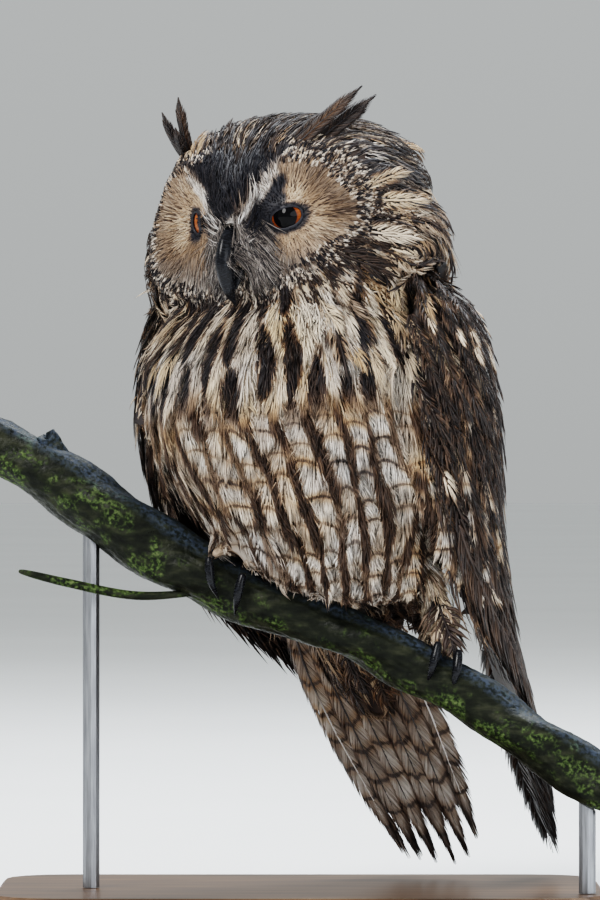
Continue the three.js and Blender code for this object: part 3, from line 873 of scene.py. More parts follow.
class Outline(Enum):
    """The outlines of a feather's vanes: the width at the root, where they are full and the tip's curve."""

    LEAF = (0.25, 0.4, 3.4)
    BLADE = (0.5, 0.3, 7)
    POINT = (0.6, 0.3, 0)

    def width(self, t: Array) -> Array:
        """Returns the share of the full width at a share of the length."""
        root, full, rounding = self.value
        t = np.clip(t, 0, 1)
        tip = np.sqrt(np.maximum(0, 1 - t**rounding)) if rounding else 1 - smooth(0.72, 1, t) * 0.97
        return (root + (1 - root) * smooth(0, full, t)) * tip


@dataclass(frozen=True)
class Plume:
    """How one kind of feather grows. Lengths are in millimetres, and shares are of its length.

    Its barbs are a tidy vane at loose 0, and strands side by side along it at loose 1.
    """

    length: float
    half_width: float
    barbs: int
    barb_width: float
    rise: float
    sweep: float = 0.3
    ragged: float = 0.16
    cup: float = 0.16
    shaft_width: float = 1
    shaft_spikes: int = 3
    pull: float = 0.5
    stray: float = 6
    vary: float = 0.18
    loose: float = 0
    steps: int = 6
    outline: Outline = Outline.LEAF


@dataclass
class Batch:
    """Feathers of one kind, laid down and ready to be barbed."""

    line: Array
    up: Array
    half: Array
    place: Array
    chance: Values

    def at(self, s: Array, t: Array, cup: float, lift: Array | float = 0) -> Pair:
        """Finds points on the vanes and the outward directions there.

        Args:
            s: how far across, from -1 to 1 at the edges.
            t: how far along, from 0 at the root to 1 at the tip.
            cup: how much the vanes curve down at their edges.
            lift: how far the points stand off the vane.

        Returns:
            The points and the directions.
        """
        steps = self.line.shape[1]
        row = np.arange(len(self.line))[:, None]
        i = np.clip(np.floor(t * (steps - 1)).astype(int), 0, steps - 2)
        f = (t * (steps - 1) - i)[..., None]
        low, high = self.line[row, i], self.line[row, i + 1]
        n = unit(self.up[row, i] * (1 - f) + self.up[row, i + 1] * f)
        half = self.half[:, None]
        side = unit(np.cross(unit(high - low), n))
        return steps_along(blend(low, high, f), (side, s * half), (n, lift - cup * s * s * half)), n


def draws(rng: np.random.Generator, number: int) -> Values:
    """Draws four values from 0 to 1 for each feather."""
    return {key: rng.random((number, 1)) for key in "abcd"}


def unwrapped(points: Array) -> Array:
    """Lays a patch of the bird's surface out flat for the bake map.

    Distances from the patch's middle are kept, as on a globe that is mapped from one side.

    Args:
        points: the places of the patch.

    Returns:
        Their places on the map, from 0 to 1.
    """
    inner = np.median(points, axis=0) * [0, 0, 1] + [*BODY.centre[:2], 0]
    ray = unit(points - inner)
    pole = unit(ray.mean(axis=0))
    east = unit(np.cross([0, 0, 1], pole) + [1e-6, 0, 0])
    north = np.cross(pole, east)
    turn = np.arccos(np.clip(ray @ pole, -1, 1))
    way = unit(np.stack([ray @ east, ray @ north], axis=1))
    flat = way * turn[:, None]
    low, high = flat.min(axis=0), flat.max(axis=0)
    return 0.02 + 0.955 * (flat - low) / np.max(high - low)


def lay_down(ground: Ground, spots: Spots, plume: Plume, seed: int, scale: Array | float = 1) -> Batch:
    """Lays feathers over the skin, each along the lie of the coat.

    Args:
        ground: the skin.
        spots: where they grow.
        plume: how they grow.
        seed: the start of the random draws.
        scale: the size of each beside the plume's own.

    Returns:
        The feathers.
    """
    rng = np.random.default_rng(seed)
    number, pull, steps = len(spots.points), plume.pull, plume.steps
    size = scale * np.clip(1 + plume.vary * rng.normal(size=number), 0.55, 1.6)
    step = (plume.length * size / steps)[:, None]
    rise = plume.rise * np.clip(1 + 0.25 * rng.normal(size=number), 0.5, 1.7)[:, None]
    here, up = spots.points, spots.normals
    way = COMB.lie(here, up)
    way = unit(way + 0.13 * rng.normal(size=way.shape))
    line, ups = [here - up * 0.2], [up]
    for k in range(1, steps + 1):
        guess = here + way * step
        near, normal = ground.settle(guess)
        shift = near - guess
        far = np.linalg.norm(shift, axis=1, keepdims=True)
        share = np.minimum(1, pull * step / np.maximum(far, 1e-6))
        here = guess + shift * np.where(dot(shift, normal) > 0, 1, share)
        up = unit(up * (1 - 1.2 * pull) + normal * 1.2 * pull)
        way = unit(way * (1 - 0.6 * pull) + COMB.lie(here, up) * 0.6 * pull)
        way = unit(way - dot(way, up) * up * 0.7)
        line.append(here + up * rise * (0.1 + 0.9 * (k / steps) ** 0.85))
        ups.append(up)
    chance = draws(rng, number) | {"root": spots.points[:, None, :]}
    flat = (dot(ups[0], ups[-1]) > 0.2) & (dot(unit(line[1] - line[0]), unit(line[-1] - line[-2])) > 0.25)
    keep = (flat & (far < plume.stray))[:, 0]
    lines, ups = np.stack(line, axis=1), np.stack(ups, axis=1)
    values = (lines, ups, plume.half_width * size, unwrapped(spots.points))
    chance = {key: value[keep] for key, value in chance.items()}
    return Batch(*(value[keep] for value in values), chance)


def barb(locks: Locks, batch: Batch, plume: Plume, paint: Paint, seed: int) -> None:
    """Grows the barbs and the shaft of each feather.

    Args:
        locks: the coat piece that takes them.
        batch: the feathers.
        plume: how they grow.
        paint: their markings.
        seed: the start of the random draws.
    """
    rng = np.random.default_rng(seed)
    barbs = plume.barbs
    shape = (len(batch.line), 2 * barbs)
    hand = np.repeat([-1, 1], barbs)
    start = np.tile((np.arange(barbs) + 0.5) / barbs, 2) * 0.9
    t0 = np.clip(start + rng.normal(size=shape) * 0.3 / barbs, 0, 1)
    t2 = t0 + plume.sweep * np.clip(1 + plume.ragged * rng.normal(size=shape), 0.4, 1.8)
    t2 = np.minimum(t2, 1 + 0.16 * rng.random(shape) * (plume.outline is Outline.LEAF))
    s2 = hand * plume.outline.width(t2 * 0.97) * (1 + plume.ragged * rng.normal(size=shape))
    s2 = (s2 + hand * 0.05 * rng.random(shape)) * (1 - plume.loose * rng.random(shape))
    s0 = 0.7 * plume.loose * s2
    s1, t1 = blend(s0, s2, 0.62), blend(t0, t2, 0.45)
    lift = 0.3 * rng.random(shape)
    spots = [batch.at(s, t, plume.cup, lift) for s, t in ((s0, t0), (s1, t1), (s2, t2))]
    marks = painted(paint, ((0.12 * s2 + 0.88 * s0, t0), (s1, t1), (s2, t2)), spots, batch.chance, rng)
    width = plume.barb_width * np.clip(1 + 0.3 * rng.normal(size=shape), 0.4, 1.9)
    scatter = rng.uniform(-1, 1, shape + (2,)) * 0.5 * PATCH
    marks[..., 0] += 0.05 * rng.normal(size=(len(marks), 1))
    plant(locks, batch, spots, width, marks, scatter)
    many = plume.shaft_spikes
    if many:
        shape = (len(batch.line), many)
        t0 = np.arange(many) / many * 0.8 + 0.1 * rng.random(shape)
        t2 = np.minimum(t0 + 1.6 / many, 1.05)
        s = plume.shaft_width * 0.3 * rng.normal(size=shape) / batch.half[:, None]
        ends = ((s, t0), (s, (t0 + t2) / 2), (0.5 * s, t2))
        spots = [batch.at(a, t, plume.cup, 0.35) for a, t in ends]
        marks = painted(paint, [(0 * a, t) for a, t in ends], spots, batch.chance, rng)
        plant(locks, batch, spots, np.full(shape, plume.shaft_width), marks, np.zeros(shape + (2,)))


def plant(locks: Locks, batch: Batch, spots: list, width: Array, marks: Array, scatter: Array) -> None:
    """Adds spikes along feathers to a coat piece, scattered round the feathers' places on the map."""
    line = np.stack([points for points, _ in spots], axis=2).reshape(-1, 3, 3)
    place = (batch.place[:, None, :] + scatter).reshape(-1, 2)
    locks.spikes(line, spots[1][1].reshape(-1, 3), width.ravel(), marks, place)


def painted(paint: Paint, ends: tuple, spots: list, chance: Values, rng: np.random.Generator) -> Array:
    """Marks the root, the middle and the tip of each spike.

    Args:
        paint: the markings.
        ends: how far across and along the feather each of the three lies.
        spots: their places and outward directions.
        chance: the feathers' random draws.
        rng: the source of a draw for each spike.

    Returns:
        The marks, spikes by 3 by the number of marks.
    """
    chance = chance | {"e": rng.random(ends[0][0].shape)}
    made = [marked(s.shape, *paint(s, t, chance | {"here": at})) for (s, t), (at, _) in zip(ends, spots)]
    return np.stack(made, axis=2).reshape(-1, 3, len(MARKS))


def marked(shape: tuple, *values: Array | float) -> Array:
    """Gathers marks into one array, with 0 for those left out."""
    values = values + (0,) * (len(MARKS) - len(values))
    return np.stack([np.broadcast_to(value, shape) for value in values], axis=-1).astype(float)


def lot(a: Array | float, b: Array | float) -> Array:
    """Returns an even random value from 0 to 1 for a pair of whole numbers."""
    return np.modf(np.abs(np.sin(a * 12.9898 + b * 78.233 + 1.7)) * 43758.5453)[0]


def turned_off(body: Array) -> Array:
    """Returns how many degrees off the body's front places of the body's axes lie."""
    return np.degrees(np.arctan2(np.abs(body[:, 0]), body[:, 1] + 6))


def fronted(s: Array, t: Array, chance: Values) -> tuple[Array, ...]:
    """Paints breast and belly by place: black streaks on ivory above, brown stripes and arches below.

    Args:
        s: how far across the feather, from -1 to 1.
        t: how far along it, from 0 to 1.
        chance: the random draws and the places.

    Returns:
        How pale and how tawny it is, where its bars lie and how strong they are.
    """
    here = chance["here"]
    height = here[..., 2]
    column = FRONT.column(here) + 0.36 * GRAIN.at(here, (15, 15, 24))
    strand = chance["e"] - 0.5
    cell = np.floor(column)
    off = column - cell - 0.5
    stripe = smooth(0.54, 0.70, 2 * np.abs(off) + 0.2 * strand + 0.22 * GRAIN.at(here, 7))
    arch = 2.6 * (1 - 4 * off**2)
    phase = (height - arch) / 9.4 + 7 * lot(cell, 1) + 0.55 * GRAIN.at(here, (15, 15, 12))
    whole = (0.3 + 0.7 * lot(cell, np.floor(phase))) * smooth(-0.8, 0, GRAIN.at(here + 200, 13))
    stripe = stripe * (1 - 0.45 * smooth(0.1, 0.4, GRAIN.at(here + 300, (9, 9, 18))))
    row = height / 32 + lot(cell, 5)
    line = np.floor(row)
    wide = 0.34 * np.sqrt(np.maximum(0.02, np.sin(math.pi * (row - line))))
    gap = np.abs(off - 0.3 * (lot(line, cell) - 0.5)) / wide + 0.5 * strand
    bright = fade(7, 13, np.hypot(here[..., 0] - 7.2, 0.8 * (height - 238)))
    streak = fade(0.8, 1.15, gap) * (lot(cell, line) < 0.93) * (1 - bright)
    ivory = 0.78 + 0.16 * chance["b"] + 0.16 * bright + 0.12 * GRAIN.at(here, 14)
    below = fade(192, 210, height + 14 * GRAIN.at(here, 20))
    head = HEAD.read(here)
    collar = fade(1.05, 1.2, FACE.reach(head[..., 0], head[..., 2])) * smooth(0.3, 0.5, chance["c"])
    streak = np.maximum(streak, collar * smooth(-10, 6, head[..., 1]))
    above = blend(ivory, 0.03, streak)
    brown = blend(0.68 + 0.12 * chance["b"] + 0.12 * GRAIN.at(here, 10), 0.12, stripe)
    warm = 0.3 + 0.45 * chance["c"] * (1 - bright) + 0.3 * GRAIN.at(here + 70, 18)
    warm = blend(warm, blend(0.52 + 0.5 * GRAIN.at(here + 30, 16), 0.85, stripe), below)
    return blend(above, brown, below), warm, phase, below * (1 - stripe) * whole


def speckled(s: Array, t: Array, chance: Values) -> tuple[Array, ...]:
    """Paints a feather of the face's rim: black or white, with a freckle of the other."""
    white = smooth(0.57, 0.63, chance["a"] + 0 * t)
    freckle = smooth(0.5, 0.7, t) * smooth(0.6, 0.7, chance["b"])
    tone = white * (1 - freckle) + (1 - white) * freckle
    return 0.03 + 0.8 * tone, 0.2 + 0.25 * chance["c"] + 0 * t


def crowned(s: Array, t: Array, chance: Values) -> tuple[Array, ...]:
    """Paints a crown feather: blue black on the forehead, and behind it often buff with a dark shaft."""
    head = HEAD.read(chance["root"])
    above = smooth(16, 27, head[..., 2]) + 0.6 * smooth(16, 28, np.abs(head[..., 0]))
    light = smooth(0.14, 0.24, chance["a"]) * np.clip(above, 0, 1)
    edge = smooth(0.15, 0.4, np.abs(s)) * light
    tone = 0.03 + 0.1 * chance["b"] + (0.5 + 0.34 * chance["c"]) * edge
    return tone, (0.1 + 0.6 * chance["d"]) * np.clip(above, 0.15, 1) + 0 * edge


def ruffed(s: Array, t: Array, chance: Values) -> tuple[Array, ...]:
    """Paints a feather of the ruff and the neck: cream or tawny, with a dark brown edge or shaft.

    Args:
        s: how far across the feather, from -1 to 1.
        t: how far along it, from 0 to 1.
        chance: its random draws.

    Returns:
        How pale and how tawny it is.
    """
    edge = smooth(0.45, 0.75, np.abs(s) * (0.6 + 0.7 * chance["a"]))
    streak = fade(0.1, 0.3, np.abs(s)) * smooth(0.5, 0.6, chance["d"])
    head = HEAD.read(chance["root"])
    reach = FACE.reach(head[..., 0], head[..., 2])
    band = fade(1.1, 1.3, reach) * smooth(0, 14, head[..., 1]) * smooth(4, -8, head[..., 2])
    dark = np.maximum(np.maximum(edge, streak), smooth(0.8, 0.88, chance["b"] + 0.6 * band + 0 * s))
    pale = 0.56 + 0.36 * chance["c"]
    return pale * (1 - dark) + 0.06 * dark, 0.4 + 0.55 * chance["b"]


def mantled(s: Array, t: Array, chance: Values) -> tuple[Array, ...]:
    """Paints a feather of the back: a dark shaft in mottled grey and tawny."""
    streak = fade(0.12, 0.4, np.abs(s) + 0.1 * chance["a"])
    fine = 0.5 + 0.5 * np.sin(t * 38 + 5 * np.abs(s) + 6.3 * chance["b"])
    side = 0.16 + 0.34 * fine * chance["c"] + 0.22 * smooth(0.6, 0.9, np.abs(s))
    return side * (1 - streak) + 0.05 * streak, 0.55 + 0.4 * chance["d"] + 0 * s


def spotted(s: Array, t: Array, chance: Values) -> tuple[Array, ...]:
    """Paints a wing covert: blackish brown, mottled tawny, and on some a pale oval spot."""
    spot = GRAIN.at(np.stack(np.broadcast_arrays(9 * s, 9 * t, 40 * chance["b"]), axis=-1), 2.2)
    tawny = smooth(0.1, 0.3, spot) * smooth(0.2, 0.5, np.abs(s)) * smooth(0.3, 0.7, chance["c"])
    oval = fade(0.8, 1.05, np.hypot((s + 0.2) / 0.6, (t - 0.76) / 0.24))
    oval = oval * smooth(0.86, 0.9, chance["a"])
    tone = 0.02 + 0.03 * chance["d"] + 0.32 * tawny
    return tone * (1 - oval) + 0.84 * oval, 0.7 * (1 - oval) + 0.5 * oval


def buff(s: Array, t: Array, chance: Values) -> tuple[Array, ...]:
    """Paints a feather of the legs and feet: plain buff with a faint darker shaft."""
    streak = fade(0.1, 0.4, np.abs(s)) * smooth(0.6, 0.8, chance["a"])
    return 0.7 + 0.22 * chance["b"] - 0.3 * streak, 0.35 + 0.35 * chance["c"]


def rufous(s: Array, t: Array, chance: Values) -> tuple[Array, ...]:
    """Paints a covert under the tail: rufous brown wisps, some of them dark."""
    return 0.36 + 0.42 * chance["a"] + 0.1 * t, 0.5 + 0.3 * chance["b"]


def tail_barred(s: Array, t: Array, chance: Values) -> tuple[Array, ...]:
    """Paints a tail feather: pale grey brown with narrow dark bars and a dark tip."""
    dusk = smooth(0.82, 0.99, t)
    edge = 0.5 * smooth(0.6, 1, np.abs(s))
    here = chance["here"]
    tone = (0.46 + 0.12 * chance["b"] + 0.24 * GRAIN.at(here, 9)) * (1 - edge) * smooth(-0.7, 0.3, t)
    bars = (t + 0.02 * np.abs(s)) * 9.4 + 1.5 * chance["a"] + 0.2 * GRAIN.at(here + 60, 7)
    return tone * (1 - dusk) + 0.04 * dusk, 0.75 - 0.45 * smooth(0.3, 0.8, t), bars, 0.8


def flight_barred(s: Array, t: Array, chance: Values) -> tuple[Array, ...]:
    """Paints a flight feather: blackish brown with broken tawny bars."""
    cell = np.abs(((t - 0.05 * s) * 7 + chance["a"]) % 1 - 0.5) * 2
    bar = smooth(0.5, 0.8, cell) * smooth(0.1, 0.5, np.abs(s)) * fade(0.75, 0.95, t)
    return 0.03 + 0.03 * chance["b"] + (0.1 + 0.2 * chance["c"]) * bar, 0.8


def sooty(s: Array, t: Array, chance: Values) -> tuple[Array, ...]:
    """Paints an ear feather: blackish brown, paler and warmer towards one edge."""
    middle = fade(0.45, 0.7, np.abs(s)) * fade(0.6, 0.9, t) * smooth(0.3, 0.5, chance["a"])
    return 0.03 + (0.12 + 0.2 * chance["b"]) * middle, 0.75 + 0 * middle


@dataclass
class Survey:
    """Where every point of the skin lies, which the stretches of coat choose from."""

    head: Array
    body: Array
    reach: Array
    kind: Array

    @classmethod
    def of(cls, skin: Skin) -> Survey:
        """Reads the skin."""
        head = HEAD.read(skin.points)
        return cls(head, BODY.read(skin.points), FACE.reach(head[:, 0], head[:, 2]), skin.kind)

    def on(self, *kinds: Flesh) -> Array:
        """Returns which points belong to some kinds of flesh."""
        return np.isin(self.kind, kinds)

    def ahead(self, low: float, high: float) -> Array:
        """Returns which points lie between two angles off the body's front, in degrees."""
        turn = turned_off(self.body)
        return (turn >= low) & (turn < high)

    def between(self, low: float, high: float) -> Array:
        """Returns which points lie between two heights."""
        return (self.body[:, 2] > low) & (self.body[:, 2] < high)

    def rim(self) -> Array:
        """Returns the speckled rim of the face, which the forehead breaks."""
        left, forward, up = self.head.T
        ring = (self.reach > 0.86) & (self.reach < 1.07) & (forward > 4)
        return ring & ~((np.abs(left) < 19) & (up > -12))

    def crown(self) -> Array:
        """Returns the forehead and the top of the head."""
        left, forward, up = self.head.T
        front = (forward > 4) & (np.abs(left) < 4 + 0.5 * up) & (up > 2) & (np.abs(left) < 20)
        top = (up > 4) & (self.reach > 1) & (forward > -24)
        return self.on(Flesh.HEAD, Flesh.DISC) & (front | top) & self.between(270, TOP)

    def ruff(self) -> Array:
        """Returns the sides and the back of the head and the neck."""
        behind_rim = (self.reach > 0.96) | (self.head[:, 1] < 4)
        place = self.between(232, TOP) & (self.ahead(30, 181) | (self.head[:, 0] < -40))
        return place & behind_rim & ~self.crown() & (~self.on_wings() | self.between(240, TOP))

    def bib(self) -> Array:
        """Returns the throat below the face."""
        below = (self.reach > 1) & (self.head[:, 2] < -22) & self.between(232, TOP)
        return below & self.ahead(0, 62) & ~self.on_wings()

    def back(self) -> Array:
        """Returns the back between the wings."""
        return self.between(96, 240) & self.ahead(90, 181) & ~self.on_wings()

    def nape(self) -> Array:
        """Returns the creases behind and below the rim of the face."""
        near = (self.reach > 0.94) & (self.reach < 1.6) & (self.head[:, 1] > -26) & (self.head[:, 2] < 10)
        return near & self.between(234, TOP) & ~self.crown()

    def gaps(self) -> Array:
        """Returns the flanks and the hem of the belly, which short down fills."""
        side = self.between(120, 240) & self.ahead(74, 118)
        side = (side | (self.between(180, 225) & self.ahead(46, 74))) & self.on(Flesh.TRUNK, Flesh.NECK)
        hem = self.between(0, 146) & self.ahead(0, 102)
        return side | (self.on(Flesh.TRUNK) & hem)

    def flank(self) -> Array:
        """Returns the creases of the right flank and behind the right foot."""
        side = self.between(192, 218) & self.ahead(52, 70)
        fold = self.between(130, 150) & self.ahead(60, 88)
        return (side | fold) & (self.body[:, 0] < 0) & self.on(Flesh.TRUNK)

    def shoulder(self) -> Array:
        """Returns the crease between the left side of the neck and the wing."""
        return self.between(244, 266) & self.ahead(84, 116) & (self.body[:, 0] > 0)

    def vent(self) -> Array:
        """Returns the underside round the root of the tail."""
        return self.on(Flesh.TRUNK, Flesh.RUMP) & self.between(0, 130) & self.ahead(60, 181)

    def thighs(self) -> Array:
        """Returns the legs."""
        return self.on(Flesh.LEG)

    def toes(self) -> Array:
        """Returns the feet."""
        return self.on(Flesh.FOOT)

    def on_wings(self) -> Array:
        """Returns the flesh of both wings."""
        return self.on(Flesh.WING_LEFT, Flesh.WING_RIGHT)


@dataclass(frozen=True)
class Patch:
    """A stretch of coat: where it grows, how and with which markings."""

    name: str
    keep: Callable[[Survey], Array]
    spacing: float
    plume: Plume
    paint: Paint
    slot: str
    seed: int

    def grow(self, ground: Ground, survey: Survey) -> Thing:
        """Grows the stretch on the skin."""
        spots = ground.scatter(self.keep(survey), self.spacing, self.seed)
        locks = Locks(self.name)
        batch = lay_down(ground, spots, self.plume, self.seed + 1)
        barb(locks, batch, self.plume, self.paint, self.seed + 2)
        return locks.build()


DOWN = Plume(
    length=12, half_width=2.6, barbs=7, barb_width=0.55, rise=1.8, ragged=0.4, loose=0.8, shaft_spikes=1
)


COAT = (
    Patch(
        "coat_under", Survey.nape, 3, replace(DOWN, length=10, barb_width=0.6, rise=1.4, loose=0.7),
        ruffed, "plumage", 151,
    ),
    Patch("coat_down", Survey.gaps, 3, DOWN, fronted, "plumage", 101),
    Patch(
        "coat_flank", Survey.flank, 1.9,
        replace(DOWN, length=6, half_width=1.8, barbs=5, barb_width=0.5, rise=1),
        fronted, "plumage", 161,
    ),
    Patch(
        "coat_shoulder", Survey.shoulder, 2.4, replace(DOWN, length=9, half_width=2.4, rise=1.6, loose=0.6),
        ruffed, "plumage", 171,
    ),
    Patch(
        "coat_rim", Survey.rim, 1,
        replace(
            DOWN, length=2.7, half_width=0.85, barbs=3, barb_width=0.5, rise=0.8,
            sweep=0.4, ragged=0.3, loose=0,
        ),
        speckled, "face", 61,
    ),
    Patch(
        "coat_crown", Survey.crown, 3.7,
        replace(DOWN, length=17, half_width=3, barbs=11, rise=2.2, shaft_spikes=2),
        crowned, "plumage", 71,
    ),
    Patch(
        "coat_ruff", Survey.ruff, 6.8,
        Plume(
            length=27, half_width=6.6, barbs=24, barb_width=0.72, rise=4.6, ragged=0.24, sweep=0.34,
            loose=0.45, pull=0.26,
        ),
        ruffed, "plumage", 81,
    ),
    Patch(
        "coat_bib", Survey.bib, 5,
        Plume(
            length=19, half_width=4.4, barbs=16, barb_width=0.6, rise=3.6, ragged=0.36, sweep=0.36,
            loose=0.8,
        ),
        fronted, "plumage", 91,
    ),
    Patch(
        "coat_back", Survey.back, 7.4, Plume(length=25, half_width=7, barbs=14, barb_width=1.2, rise=3.2),
        mantled, "plumage", 111,
    ),
    Patch(
        "coat_vent", Survey.vent, 4.6,
        Plume(length=30, half_width=3.4, barbs=9, barb_width=0.6, rise=2, ragged=0.5, loose=0.9),
        rufous, "plumage", 121,
    ),
    Patch(
        "coat_legs", Survey.thighs, 2.6,
        Plume(length=10, half_width=2.4, barbs=9, barb_width=0.5, rise=1.8, ragged=0.4, loose=0.8),
        buff, "plumage", 131,
    ),
    Patch(
        "coat_feet", Survey.toes, 1.3,
        replace(DOWN, length=3.4, half_width=1.1, barbs=4, barb_width=0.42, rise=0.7, loose=0.6),
        buff, "plumage", 141,
    ),
)


def tinted(points: Array, kinds: Array) -> Array:
    """Paints the skin with the coat's own markings, by where it lies on the bird, and keeps the body, the
    nape and the wings dark as painted shade in the gaps between feathers.

    Args:
        points: places on the skin.
        kinds: the flesh there.

    Returns:
        The marks of each place.
    """
    head, body = HEAD.read(points), BODY.read(points)
    streaks = GRAIN.at(points, (5, 5, 22))
    warm = 0.5 + 0.3 * GRAIN.at(points + 40, 14)
    even = np.full(len(points), 0.5)
    # Painted shade: the body's base tone here, and the nape's and the wings' tones below, are kept dark so
    # that gaps between the feathers read as shade.
    marks = marked(even.shape, 0.16 + 0.2 * streaks, warm)
    nape = np.where(head[:, 2] > 6, 0.12, 0.2) + 0.3 * streaks
    tone, tawny = face_tint(head[:, 0], head[:, 2])
    rim = Eye.rim_of(points)
    in_face = (FACE.reach(head[:, 0], head[:, 2]) < 1) & (head[:, 1] > 14)
    for keep, values in (
        (
            (turned_off(body) < 82) & (points[:, 0] > -61),
            fronted(even, even, {"here": points, "b": even, "c": even, "e": even}),
        ),
        (np.isin(kinds, [Flesh.HEAD, Flesh.NECK]) & (head[:, 2] > -36), (nape, warm)),
        (np.isin(kinds, [Flesh.WING_LEFT, Flesh.WING_RIGHT]), (0.05 + 0.04 * streaks, 0.7)),
        (np.isin(kinds, [Flesh.LEG, Flesh.FOOT]), (0.66 + 0.1 * streaks, 0.5)),
        (in_face | (rim > 0.5), (blend(tone, 0.015, rim), tawny * (1 - rim))),
    ):
        marks = np.where(keep[:, None], marked(even.shape, *values), marks)
    return marks


def stroke(left: Array, up: Array, start: tuple, end: tuple, half: float) -> Array:
    """Returns how much of a brush stroke from one place of the face to another lies at each place."""
    along = np.array(end, float) - np.array(start, float)
    a, b = left - start[0], up - start[1]
    share = np.clip((a * along[0] + b * along[1]) / (along @ along), 0, 1)
    return fade(0.65, 1.25, np.hypot(a - share * along[0], b - share * along[1]) / half)


def face_tint(left: Array, up: Array) -> Pair:
    """Paints the face: tan discs, white brows, a dark forehead and black round the eyes.

    Args:
        left: head coordinates to the owl's left.
        up: head coordinates upwards.

    Returns:
        How pale and how tawny each place is.
    """
    out = np.abs(left)
    place = np.stack([left, 0 * left, up], axis=-1)
    edge = smooth(0.5, 0.85, FACE.reach(left, up))
    tone = 0.62 - 0.08 * edge + 0.14 * smooth(-12, -26, up) + 0.16 * GRAIN.at(place, 8)
    warm = 0.6 - 0.3 * smooth(-10, -24, up) - 0.12 * edge
    lores = fade(9, 17, out) * fade(-2, 9, up)
    smudge = 0.5 * stroke(left, up, (11.5, -8), (14.5, -22), 2.4)
    tone, warm = blend(tone, 0.78, lores) * (1 - smudge), warm * (1 - 0.9 * lores)
    middle = -2.6 - 0.1 * (up - 4)
    forehead = fade(0.8, 1.2, np.abs(left - middle) / (1.5 + 0.8 * np.maximum(up + 2, 0)))
    forehead = forehead * smooth(-4, 2, up)
    ragged = left + 1.6 * GRAIN.at(place, 2.4), up + 1.6 * GRAIN.at(place + 31, 2.4)
    white = np.maximum(
        stroke(*ragged, (4.8, -5), (15.6, 19), 2.2), stroke(*ragged, (-5, -4), (-25, 18), 2.4)
    )
    white = white * smooth(-7, -2, up + 0.3 * out) * (0.9 - 0.25 * smooth(6, 18, up))
    dark = smooth(20, 25, up) * fade(16, 26, out)
    for start, end, half in (
        ((7.4, -4), (18.5, 14), 2.5), ((9.5, -2.5), (17, 7), 3.4), ((-13, -6), (-14, 3), 1.2)
    ):
        dark = np.maximum(dark, stroke(left, up, start, end, half))
    for shade, share in ((0.03, forehead), (0.95, white), (0.02, dark)):
        tone, warm = blend(tone, shade, share), warm * (1 - share)
    return tone, warm


